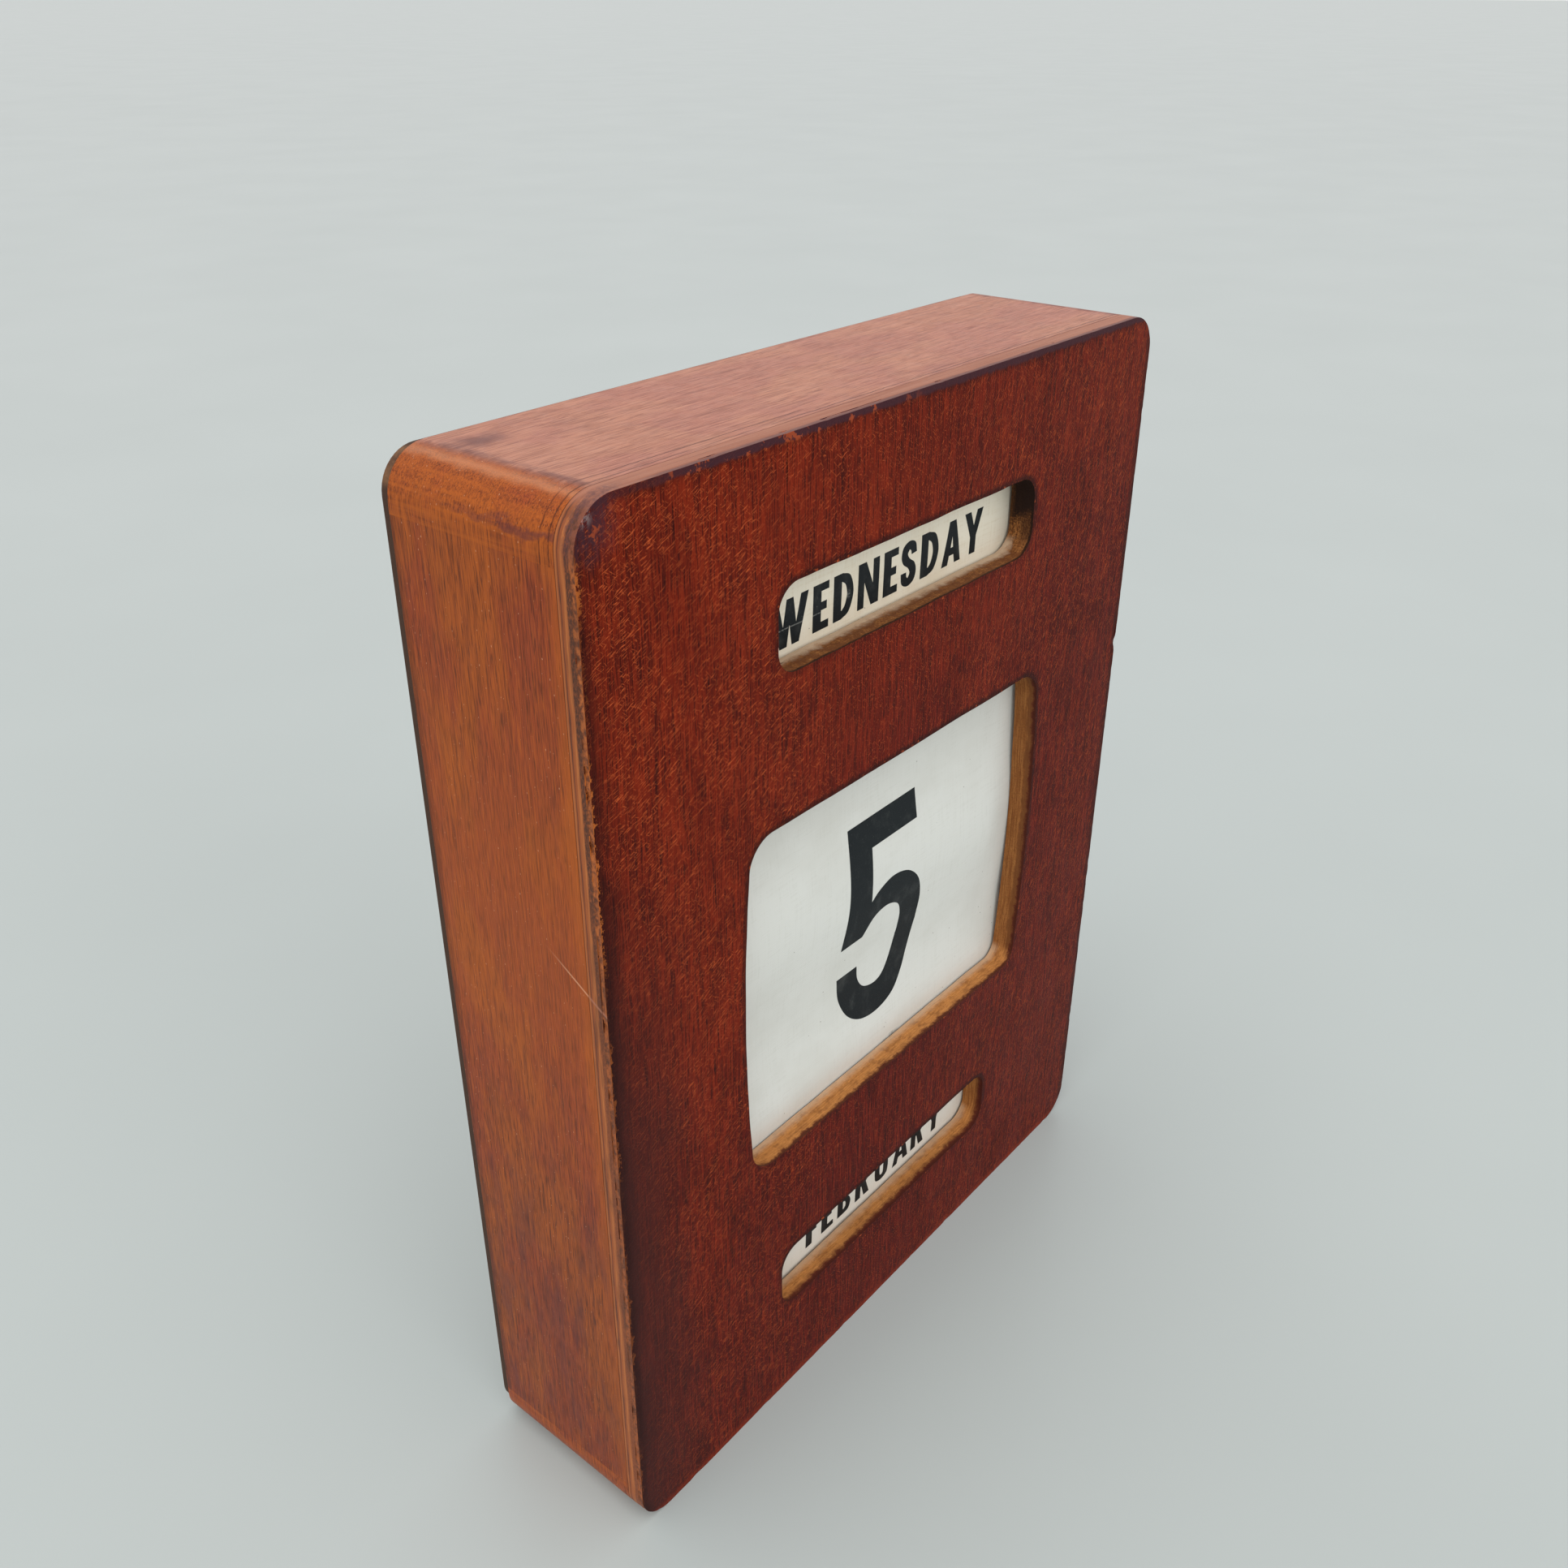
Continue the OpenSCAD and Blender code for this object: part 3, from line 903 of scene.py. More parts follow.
@dataclass(frozen=True)
class PrintInk:
    """Blue-black printing ink, thin in places and rubbed along one crease."""

    name: str
    black: Colour = tone(25, 30, 33)
    worn: Colour = tone(128, 130, 126)
    crease: Optional[float] = None
    crease_end: float = 0.0
    rub: Optional[Point] = None

    def make(self) -> bpy.types.Material:
        """Draw the ink, with its crease and its rubbed spot if it has them.

        Returns:
            The finished material.
        """
        g = Graph(self.name)
        grit = g.noise((0.35, 0.35, 0.35), 2.0, 0.6, 2.0)
        cloud = g.noise((5, 5, 7), 3.0, 0.6, 4.0)
        colour = g.mix(self.black, self.worn, grit.rise(0.62, 0.8) * 0.35 + cloud.rise(0.5, 0.8) * 0.14)
        if self.crease is not None:
            line = (g.z + cloud.sway(0.4)).near(self.crease, 0.22)
            line = line * g.x.fall(self.crease_end - 6, self.crease_end)
            colour = g.mix(colour, self.worn, line * grit.rise(0.36, 0.5) * 0.9)
        if self.rub is not None:
            spot = ((g.x - self.rub[0]) / 0.9).hypot((g.z - self.rub[1]) / 1.5).fall(0.2, 1.0)
            colour = g.mix(colour, self.worn, spot * grit.rise(0.4, 0.6) * 0.8)
        return g.finish(colour, 0.5 + grit.sway(0.3), grit, 0.02, 0.5, gloss=0.12)


@dataclass(frozen=True)
class TurnedWood:
    """Wood turned on a lathe, bare for the rollers or stained and varnished for the knobs."""

    name: str
    main: Colour
    dark: Colour
    pale: Colour
    roughness: float

    def make(self) -> bpy.types.Material:
        """Draw the wood, with its fibres along the roller and the lathe's rings across them.

        Returns:
            The finished material.
        """
        g = Graph(self.name)
        fibre = g.noise((14, 0.4, 0.4), 3.0, 0.7, 3.0)
        rings = g.noise((0.35, 30, 30), 2.0, 0.6, 7.0)
        colour = g.layers(
            self.main,
            (self.pale, g.noise((50, 2.2, 2.2), 2.0, 0.6, 5.0).rise(0.45, 0.7) * 0.6),
            (self.dark, fibre.fall(0.3, 0.5) * 0.5),
            (self.dark, rings.rise(0.55, 0.7) * 0.25),
        )
        return g.finish(colour, self.roughness + fibre.sway(0.15), fibre * 0.6 + rings * 0.5, 0.05, 0.5)


@dataclass(frozen=True)
class DullSteel:
    """Plated steel gone dull, with a little rust in its pits."""

    name: str = "fastener_steel"
    bright: Colour = tone(178, 172, 160)
    dull: Colour = tone(120, 114, 104)
    rust: Colour = tone(108, 62, 34)

    def make(self) -> bpy.types.Material:
        """Draw the steel, brushed along X and less metallic where it rusts.

        Returns:
            The finished material.
        """
        g = Graph(self.name)
        cloud = g.noise((1.6, 1.6, 1.6), 3.0, 0.6, 2.0)
        brush = g.noise((6, 0.15, 0.15), 2.0, 0.6, 4.0)
        rusty = cloud.rise(0.6, 0.72)
        colour = g.layers(self.bright, (self.dull, cloud.rise(0.4, 0.66) * 0.8), (self.rust, rusty * 0.7))
        rough = 0.34 + brush.sway(0.2) + rusty * 0.3
        return g.finish(colour, rough, brush + cloud, 0.03, 0.5, metal=1 - rusty * 0.7)


@dataclass(frozen=True)
class FibreWasher:
    """Dark red vulcanised fibre."""

    name: str = "fibre_washer"
    red: Colour = tone(112, 46, 36)
    dark: Colour = tone(66, 26, 22)

    def make(self) -> bpy.types.Material:
        """Draw the fibre.

        Returns:
            The finished material.
        """
        g = Graph(self.name)
        wool = g.noise((0.5, 0.5, 0.5), 4.0, 0.7, 2.0)
        colour = g.mix(self.red, self.dark, wool.rise(0.4, 0.65) * 0.7)
        return g.finish(colour, 0.6 + wool.sway(0.2), wool, 0.05, 0.5)


@dataclass(frozen=True)
class StudioFloor:
    """A plain pale floor with a faint sheen."""

    name: str = "studio_floor"
    pale: Colour = tone(182, 189, 187)
    shade: Colour = tone(176, 183, 181)

    def make(self) -> bpy.types.Material:
        """Return the finished material."""
        g = Graph(self.name)
        cloud = g.noise((160, 160, 160), 3.0, 0.5, 2.0)
        return g.finish(g.mix(self.pale, self.shade, cloud), 0.34 + cloud.sway(0.04))


# ---- modelling by hand ----


def only(*pieces: bpy.types.Object) -> None:
    """Select some pieces alone, with the last one active.

    Args:
        pieces: The pieces.
    """
    bpy.ops.object.select_all(action="DESELECT")
    for piece in pieces:
        piece.select_set(True)
    bpy.context.view_layer.objects.active = pieces[-1]


def settle(piece: bpy.types.Object) -> None:
    """Move a piece's place, turn and size into its mesh."""
    only(piece)
    bpy.ops.object.transform_apply(location=True, rotation=True, scale=True)


def added(name: str, data: bpy.types.ID) -> bpy.types.Object:
    """Put an object with this data in the scene, and return it."""
    piece = bpy.data.objects.new(name, data)
    bpy.context.scene.collection.objects.link(piece)
    return piece


def named(name: str) -> bpy.types.Object:
    """Name the piece that was just added.

    Args:
        name: Its name.

    Returns:
        The piece.
    """
    piece = bpy.context.object
    piece.name = name
    piece.data.name = name
    return piece


def block(name: str, low: Vector, high: Vector) -> bpy.types.Object:
    """Add a block between two corners.

    Args:
        name: The piece's name.
        low: Its lowest corner.
        high: Its highest corner.

    Returns:
        The new piece.
    """
    bpy.ops.object.select_all(action="DESELECT")
    bpy.ops.mesh.primitive_cube_add(size=1, location=(low + high) / 2)
    piece = named(name)
    piece.scale = high - low
    settle(piece)
    return piece


def work(piece: bpy.types.Object, kind: str, **settings: Any) -> None:
    """Run one modifier on a piece and apply it.

    Args:
        piece: The piece.
        kind: The modifier's type.
        settings: The modifier's properties.
    """
    only(piece)
    step = piece.modifiers.new(kind.lower(), kind)
    for key, value in settings.items():
        setattr(step, key, value)
    bpy.ops.object.modifier_apply(modifier=step.name)


def round_arrises(piece: bpy.types.Object, width: float, degrees: float) -> None:
    """Round a piece's edges that are sharper than this angle."""
    limit = math.radians(degrees)
    work(piece, "BEVEL", width=width, segments=2, limit_method="ANGLE", angle_limit=limit)


def smooth(piece: bpy.types.Object, degrees: float = 32.0) -> None:
    """Shade a piece smoothly, with sharp edges over this angle and flat faces kept flat."""
    only(piece)
    bpy.ops.object.shade_smooth_by_angle(angle=math.radians(degrees))
    work(piece, "WEIGHTED_NORMAL", keep_sharp=True, weight=60)


def shaped(piece: bpy.types.Object, rule: Callable[[Vector], Vector]) -> None:
    """Move each point of a piece to where the rule puts it."""
    for vertex in piece.data.vertices:
        vertex.co = rule(vertex.co.copy())
    piece.data.update()


class Bench:
    """Holds a piece in edit mode and picks its edges and faces by their place."""

    def __init__(self, piece: bpy.types.Object) -> None:
        """Keep the piece to work on."""
        self.piece = piece

    def __enter__(self) -> "Bench":
        """Open the piece for editing with nothing picked.

        Returns:
            The bench itself.
        """
        only(self.piece)
        bpy.ops.object.mode_set(mode="EDIT")
        bpy.ops.mesh.select_mode(type="EDGE")
        bpy.ops.mesh.select_all(action="DESELECT")
        return self

    def __exit__(self, *problem: object) -> None:
        """Close the piece."""
        bpy.ops.object.mode_set(mode="OBJECT")

    def pick(self, test: Callable[[Any], bool], kind: str = "EDGE") -> None:
        """Pick the edges or the faces that pass a test.

        Args:
            test: Which ones to pick.
            kind: "EDGE" or "FACE".
        """
        bpy.ops.mesh.select_mode(type=kind)
        bpy.ops.mesh.select_all(action="DESELECT")
        shape = bmesh.from_edit_mesh(self.piece.data)
        for part in [part for part in (shape.edges if kind == "EDGE" else shape.faces) if test(part)]:
            part.select_set(True)
        shape.select_flush_mode()
        bmesh.update_edit_mesh(self.piece.data)

    def bevel(self, width: float, segments: int) -> None:
        """Round the picked edges."""
        bpy.ops.mesh.bevel(
            offset=width, offset_type="OFFSET", segments=segments, affect="EDGES", clamp_overlap=True
        )

    def divide(self, shortest: float, spacing: float) -> None:
        """Cut the long level edges, then the long upright ones, into short lengths.

        Args:
            shortest: Edges up to this length stay whole.
            spacing: About how long each part becomes.
        """
        for axis in (0, 2):
            self.pick(lambda edge: runs(edge, axis) and edge.calc_length() > shortest)
            shape = bmesh.from_edit_mesh(self.piece.data)
            longest = max(edge.calc_length() for edge in shape.edges if edge.select)
            bpy.ops.mesh.subdivide(number_cuts=3)
            cuts = max(1, round(longest / 4 / spacing) - 1)
            bpy.ops.mesh.subdivide(number_cuts=min(cuts, 100))


def runs(edge: bmesh.types.BMEdge, axis: int) -> bool:
    """Tell whether an edge runs along an axis: 0 for X, 1 for Y, 2 for Z."""
    span = edge.verts[1].co - edge.verts[0].co
    return abs(span[axis]) > 0.99 * span.length > 0


def is_sharp(edge: bmesh.types.BMEdge) -> bool:
    """Tell whether two faces meet at an edge in more than 60 degrees."""
    return edge.is_manifold and edge.calc_face_angle() > math.radians(60)


def softened(
    node: str, name: str, width: float, first: Optional[Callable[[Bench], None]] = None
) -> bpy.types.Object:
    """Copy a CAD node's mesh and take off its sharp arrises.

    Args:
        node: The CAD node.
        name: The new piece's name.
        width: How much its arrises are rounded.
        first: More work on the copy before that.

    Returns:
        The new piece.
    """
    piece = added(name, frame["nodes"][node].data.copy())
    piece.data.name = name
    piece.data.materials.clear()
    with Bench(piece):
        bpy.ops.mesh.select_all(action="SELECT")
        bpy.ops.mesh.remove_doubles(threshold=TINY / 4)
        bpy.ops.mesh.dissolve_limited(angle_limit=math.radians(0.5))
    if first is not None:
        with Bench(piece) as bench:
            first(bench)
    round_arrises(piece, width, 40)
    smooth(piece)
    return piece


def install(piece: bpy.types.Object, body: str, slot: str, *nodes: str) -> None:
    """Fix a piece to its body and hide the nodes that it stands for.

    Args:
        piece: The finished piece.
        body: The CAD body that it moves with.
        slot: The record's material slot, which is not used.
        nodes: The CAD nodes that it replaces.
    """
    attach(piece, body)
    if nodes:
        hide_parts(*nodes)
    LOG.info("%s: %d faces on %s", piece.name, len(piece.data.polygons), body)


def paint(piece: bpy.types.Object, *finishes: bpy.types.Material) -> None:
    """Give a piece these materials and no others."""
    piece.data.materials.clear()
    for finish in finishes:
        piece.data.materials.append(finish)


def wander(point: Vector, size: float, seed: float) -> float:
    """Return smooth noise between about -1 and 1 at a place, with features of this size."""
    return noise.noise(point / size + Vector((seed, seed * 0.7, seed * 1.9)))


# ---- the case ----


@dataclass(frozen=True)
class Window:
    """One window of the front panel."""

    opening: str
    width: float
    height: float
    corner: float
    bow: float = 0.0
    tight: float = 0.0
    wave: float = 0.2 * MM
    burr: float = 0.05 * MM
    spacing: float = 1.3 * MM
    overcut: float = 2 * MM

    def centre(self) -> Vector:
        """Find the middle of the window in the record's openings.

        Returns:
            The middle of the opening's box.
        """
        for opening in frame["record"]["physics"]["openings"]:
            if opening["name"] == self.opening:
                low, high = (Vector(corner) for corner in opening["box_m"])
                return (low + high) / 2
        raise KeyError(self.opening)

    def cutter(self, low_y: float, high_y: float, seed: float) -> bpy.types.Object:
        """Return a block of the window's shape that cuts through a panel.

        Args:
            low_y: The panel's front.
            high_y: The panel's back.
            seed: Changes how the saw wandered.

        Returns:
            The cutting block.
        """
        centre = self.centre()
        half = Vector((self.width / 2, 0, self.height / 2))
        low = Vector((centre.x, low_y - self.overcut, centre.z)) - half
        high = Vector((centre.x, high_y + self.overcut, centre.z)) + half
        piece = block("cutter", low, high)
        with Bench(piece) as bench:
            if self.tight:
                bench.pick(lambda edge: runs(edge, 1) and self._low_right(edge, centre))
                bench.bevel(self.tight, 8)
            bench.pick(lambda edge: runs(edge, 1) and not (self.tight and self._low_right(edge, centre)))
            bench.bevel(self.corner, 10)
            bench.divide(4 * self.spacing, self.spacing)

        def rule(point: Vector) -> Vector:
            """Bow the sides outwards and let every side wander as a sawn line does.

            Args:
                point: A point of the straight-sided block.

            Returns:
                Where it goes.
            """
            across = point.x - centre.x
            up = point.z - centre.z
            flat = Vector((point.x, seed * MM, point.z))
            bowed = self.bow * max(0.0, 1 - (up / half.z) ** 2) * math.copysign(1, across)
            side = min(1.0, abs(across) / half.x) ** 8
            point.x += bowed * side + self.wave * wander(flat, 9 * MM, 3.1)
            point.z += self.wave * wander(flat, 11 * MM, 8.7) + self.burr * wander(flat, 2.5 * MM, 1.3)
            return point

        shaped(piece, rule)
        return piece

    @staticmethod
    def _low_right(edge: bmesh.types.BMEdge, centre: Vector) -> bool:
        """Tell whether an edge is at the window's lower right corner."""
        return all(vertex.co.x > centre.x and vertex.co.z < centre.z for vertex in edge.verts)


@dataclass
class FrontPanel:
    """The front: a sheet of plywood with rounded corners, worn edges and three windows.

    Each nick has its place across and up the panel and its depth, in millimetres.
    """

    case: CaseSize
    corner: float = 9.5 * MM
    round_over: float = 1.3 * MM
    rim: float = 0.45 * MM
    rear_arris: float = 0.25 * MM
    spacing: float = 1.1 * MM
    left_wear: float = 1.25
    top_wear: float = 0.6
    other_wear: float = 0.3
    corner_wear: float = 2.2
    long_edge: float = 20 * MM
    edge_zone: float = 3 * MM
    window_zone: float = 12 * MM
    chip_depth: float = 0.6 * MM
    fine_wear: float = 0.05 * MM
    nick_reach: float = 1.3 * MM
    nicks: tuple[tuple[float, float, float], ...] = (
        (100.0, 170.0, 0.45),
        (-100.0, 206.0, 0.7),
        (-100.0, 137.0, 0.4),
    )
    windows: tuple[Window, ...] = (
        Window("day_window", 96 * MM, 19.5 * MM, 6 * MM),
        Window("date_window", 114 * MM, 92.5 * MM, 7 * MM, 2.5 * MM, 4.2 * MM),
        Window("month_window", 94 * MM, 19.5 * MM, 6 * MM),
    )
    lining_gap: float = 0.25 * MM
    lining_arris: float = 0.15 * MM
    low: Vector = field(init=False)
    high: Vector = field(init=False)
    lined: Vector = field(init=False)
    middle: Vector = field(init=False)

    def __post_init__(self) -> None:
        """Read the panel's corners from the frame. The boards stand behind its outer layer."""
        self.low, self.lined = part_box("front_panel")
        self.high = Vector((self.lined.x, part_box("left_board")[0].y, self.lined.z))
        self.middle = (self.low + self.high) / 2

    def inset(self, point: Vector) -> float:
        """Measure how far inside the panel's outline a place is.

        Args:
            point: The place.

        Returns:
            The distance to the outline.
        """
        half = (self.high - self.low) / 2
        x = abs(point.x - self.middle.x) - half.x + self.corner
        z = abs(point.z - self.middle.z) - half.z + self.corner
        outside = math.hypot(max(x, 0), max(z, 0)) + min(max(x, z), 0)
        return self.corner - outside

    def build(self) -> None:
        """Model the panel and its lining, dress them and fix them to the case."""
        panel = block("front_face", self.low, self.high)
        with Bench(panel) as bench:
            bench.pick(lambda edge: runs(edge, 1))
            bench.bevel(self.corner, 14)
            bench.divide(self.long_edge, self.spacing)
            bench.pick(lambda edge: self._outline(edge, self.low.y))
            bench.bevel(self.round_over, 4)
            bench.pick(lambda edge: self._outline(edge, self.high.y))
            bench.bevel(self.rear_arris, 1)
        shaped(panel, self._worn)
        self._cut_windows(panel, 0.0)
        with Bench(panel) as bench:
            bench.pick(self._window_rim)
            bench.bevel(self.rim, 3)
        smooth(panel)
        bare = BarePly(self.case)
        paint(panel, LacqueredFace(self.case, self.windows).make(), PlyEdge(self.case).make(), bare.make())
        for face in panel.data.polygons:
            face.material_index = self._finish_of(face)
        install(panel, "case", "mahogany_front", "front_panel")
        lining = self._lining()
        paint(lining, bare.make())
        install(lining, "case", "mahogany_front", "front_panel")

    def _cut_windows(self, piece: bpy.types.Object, seed: float) -> None:
        """Cut the three windows through a layer of the panel.

        Args:
            piece: The layer.
            seed: Changes how the saw wandered.
        """
        for window in self.windows:
            cutter = window.cutter(self.low.y, self.lined.y, seed)
            work(piece, "BOOLEAN", operation="DIFFERENCE", object=cutter, solver="EXACT")
            bpy.data.objects.remove(cutter)

    def _lining(self) -> bpy.types.Object:
        """Model the thin ply glued behind the panel between the boards.

        Returns:
            The lining, with its windows cut.
        """
        inner_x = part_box("right_board")[0].x - self.lining_gap
        floor_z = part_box("bottom_board")[1].z + self.lining_gap
        ceiling_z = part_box("top_board")[0].z - self.lining_gap
        low = Vector((-inner_x, self.high.y, floor_z))
        high = Vector((inner_x, self.lined.y, ceiling_z))
        lining = block("front_lining", low, high)
        self._cut_windows(lining, 7.0)
        round_arrises(lining, self.lining_arris, 60)
        smooth(lining)
        return lining

    def _outline(self, edge: bmesh.types.BMEdge, y: float) -> bool:
        """Tell whether an edge lies on the panel's outline at this depth."""
        return all(abs(end.co.y - y) < TINY and self.inset(end.co) < 0.3 * MM for end in edge.verts)

    def _window_rim(self, edge: bmesh.types.BMEdge) -> bool:
        """Tell whether an edge is the front arris of a window."""
        in_front = all(vertex.co.y < self.low.y + TINY for vertex in edge.verts)
        inside = all(self.inset(vertex.co) > self.window_zone for vertex in edge.verts)
        return in_front and inside and is_sharp(edge)

    def _worn(self, point: Vector) -> Vector:
        """Wear or chip a point of the front edge away.

        Args:
            point: A point of the new panel.

        Returns:
            Where it is on the worn one.
        """
        depth = self.inset(point)
        zone = self.round_over + TINY
        if depth > zone or point.y > self.low.y + zone:
            return point
        flat = Vector((point.x, 0, point.z))
        at_left = point.x < self.low.x + self.edge_zone
        at_top = point.z > self.high.z - self.edge_zone
        share = self.left_wear if at_left else self.top_wear if at_top else self.other_wear
        if at_left and at_top:
            share = self.corner_wear
        chip = max(0.0, wander(flat, 3.4 * MM, 5.3) - 0.22) * 1.7
        chip += max(0.0, wander(flat, 14 * MM, 2.2)) * 0.45
        amount = self.chip_depth * share * chip + self.fine_wear * (1 + wander(flat, 1.8 * MM, 9.1))
        for x, z, size in self.nicks:
            away = math.hypot(point.x - x * MM, point.z - z * MM) / self.nick_reach
            amount += size * MM * math.exp(-away * away)
        inward = self.middle - point
        inward.y = 0
        if abs(inward.z) < (self.high.z - self.low.z) / 2 - self.corner:
            inward.z = 0
        if abs(inward.x) < (self.high.x - self.low.x) / 2 - self.corner:
            inward.x = 0
        edge = 1 - depth / zone
        face = 1 - (point.y - self.low.y) / zone
        mid = min(1.0, 4 * edge * face + 0.2)
        return point + (inward.normalized() * 0.7 + Vector((0, 0.7, 0))) * amount * mid

    def _finish_of(self, face: bpy.types.MeshPolygon) -> int:
        """Choose the finish of a face: lacquer in front, cut edge outside, bare wood elsewhere.

        Args:
            face: The face.

        Returns:
            The finish's number.
        """
        if face.normal.y < -0.5:
            return 0
        return 1 if self.inset(face.center) < self.edge_zone and face.normal.y < 0.8 else 2


@dataclass
class Carcase:
    """The four boards behind the front panel and the hardboard back."""

    case: CaseSize
    arris: float = 0.2 * MM
    rear_round: float = 2.0 * MM
    back_arris: float = 0.3 * MM

    def build(self) -> None:
        """Model the boards and the back, dress them and fix them to the case."""
        upright = CaseBoard(self.case, Grain.UPRIGHT).make()
        level = CaseBoard(self.case, Grain.LEVEL).make()
        rows = (
            ("top_board", "top_rail", level, self._round_rear_top),
            ("bottom_board", "bottom_rail", level, None),
            ("left_board", "left_side", upright, None),
            ("right_board", "right_side", upright, None),
        )
        for node, name, finish, first in rows:
            board = softened(node, name, self.arris, first)
            paint(board, finish)
            install(board, "case", "case_boards", node)
        back = softened("back_panel", "back_board", self.back_arris)
        paint(back, Hardboard(self.case).make())
        install(back, "case", "hardboard", "back_panel")

    def _round_rear_top(self, bench: Bench) -> None:
        """Round the top board's upper rear edge, which hands have worn.

        Args:
            bench: The top board, open for editing.
        """
        low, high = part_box("top_board")

        def worn(edge: bmesh.types.BMEdge) -> bool:
            """Tell whether an edge is the long upper one at the back."""
            rear = all(vertex.co.y > high.y - TINY for vertex in edge.verts)
            upper = all(vertex.co.z > low.z + 1 * MM for vertex in edge.verts)
            return rear and upper and is_sharp(edge)

        bench.pick(worn)
        bench.bevel(self.rear_round, 5)


# ---- the printed bands ----


class Outline:
    """A closed line drawn from corner to corner, straight or as a smooth curve, in millimetres."""

    def __init__(self, x: float, z: float) -> None:
        """Start at a corner."""
        self.points: list[Point] = [(x, z)]

    def to(self, *corners: Point) -> "Outline":
        """Go straight to each corner in turn."""
        self.points.extend(corners)
        return self

    def through(self, *places: Point, steps: int = 8) -> "Outline":
        """Curve smoothly through these places and end at the last.

        Args:
            places: The places, of which the last becomes a corner.
            steps: Points in each stretch between two places.

        Returns:
            The outline itself.
        """
        stops = [Vector(point) for point in (self.points[-1], *places)]
        stops = [stops[0] * 2 - stops[1], *stops, stops[-1] * 2 - stops[-2]]
        for first, start, end, last in zip(stops, stops[1:], stops[2:], stops[3:]):
            for step in range(1, steps + 1):
                t = step / steps
                blend = start * 2 + (end - first) * t + (first * 2 - start * 5 + end * 4 - last) * t**2
                blend += (start * 3 - first - end * 3 + last) * t**3
                self.points.append((blend.x / 2, blend.y / 2))
        return self


CAP = 10.4


def letters() -> dict[str, list[Outline]]:
    """Draw each capital that the names need, with its foot at zero and a height of CAP.

    Returns:
        Each letter's outlines.
    """
    bars = ((5.2, 8.8), (2.6, 8.8), (2.6, 6.15), (4.5, 6.15), (4.5, 4.45), (2.6, 4.45))
    return {
        "A": [
            Outline(0, 0).to((2.3, 0), (2.8, 2.2), (4.8, 2.2), (5.3, 0), (7.6, 0), (5.1, CAP), (2.6, CAP)),
            Outline(3.2, 3.9).to((3.85, 7.3), (4.45, 3.9)),
        ],
        "B": [
            Outline(0, 0).to((3.0, 0)).through((4.9, 0.5), (5.8, 2.8), (5.1, 4.9), (4.1, 5.5))
            .through((5.0, 6.2), (5.4, 7.9), (4.8, 9.8), (3.0, CAP)).to((0, CAP)),
            Outline(2.4, 1.7).to((2.4, 4.6), (2.8, 4.6))
            .through((3.4, 4.1), (3.6, 3.1), (3.4, 2.2), (2.8, 1.7)),
            Outline(2.4, 6.2).to((2.4, 8.7), (2.8, 8.7))
            .through((3.2, 8.3), (3.3, 7.5), (3.2, 6.7), (2.8, 6.2)),
        ],
        "D": [
            Outline(0, 0).to((2.7, 0)).through((5.4, 1.2), (6.8, 5.2), (5.6, 9.2), (3.0, CAP)).to((0, CAP)),
            Outline(2.6, 1.8).to((2.6, 8.6), (2.9, 8.6))
            .through((4.1, 7.6), (4.7, 5.2), (4.0, 2.8), (2.9, 1.8)),
        ],
        "E": [Outline(0, 0).to((5.2, 0), (5.2, 1.65), (2.6, 1.65), *reversed(bars), (5.2, CAP), (0, CAP))],
        "F": [Outline(0, 0).to((2.6, 0), *reversed(bars), (5.2, CAP), (0, CAP))],
        "N": [
            Outline(0, 0).to(
                (2.1, 0), (2.1, 6.3), (4.9, 0), (7.5, 0), (7.5, CAP),
                (5.4, CAP), (5.4, 4.5), (2.7, CAP), (0, CAP)
            )
        ],
        "R": [
            Outline(0, 0).to((2.4, 0), (2.4, 4.1), (2.8, 4.1), (4.0, 0), (6.4, 0), (4.8, 4.8))
            .through((5.8, 6.0), (6.0, 7.8), (5.1, 9.8), (3.0, CAP)).to((0, CAP)),
            Outline(2.4, 5.8).to((2.4, 8.7), (2.9, 8.7))
            .through((3.6, 8.2), (3.8, 7.2), (3.6, 6.3), (2.9, 5.8)),
        ],
        "S": [
            Outline(0.1, 3.3)
            .through(
                (0.6, 0.9), (2.8, -0.1), (5.1, 0.8), (5.8, 3.0),
                (5.0, 5.0), (3.2, 6.3), (2.3, 7.6), (3.0, 8.7),
            )
            .through((3.7, 8.2), (3.9, 7.3)).to((5.8, 7.5))
            .through(
                (5.2, 9.7), (3.1, 10.5), (0.8, 9.6), (0.1, 7.4),
                (0.9, 5.6), (2.7, 4.3), (3.5, 2.9), (2.8, 1.7),
            )
            .through((2.2, 2.2), (2.0, 3.3))
        ],
        "U": [
            Outline(0, CAP).to((0, 3.2)).through((0.6, 0.8), (3.15, -0.1), (5.7, 0.8), (6.3, 3.2)).to(
                (6.3, CAP), (4.0, CAP), (4.0, 3.3)
            ).through((3.8, 2.1), (3.15, 1.7), (2.5, 2.1), (2.3, 3.3)).to((2.3, CAP))
        ],
        "W": [
            Outline(3.1, 0).to(
                (5.3, 0), (6.2, 5.2), (7.1, 0), (9.3, 0), (12.2, CAP), (9.9, CAP),
                (8.35, 4.2), (7.25, CAP), (5.2, CAP), (4.1, 4.2), (2.4, CAP), (0, CAP)
            )
        ],
        "Y": [
            Outline(2.6, 0).to(
                (4.9, 0), (4.9, 4.2), (7.5, CAP), (5.2, CAP), (3.8, 6.6), (2.4, CAP), (0, CAP), (2.6, 4.2)
            )
        ],
    }


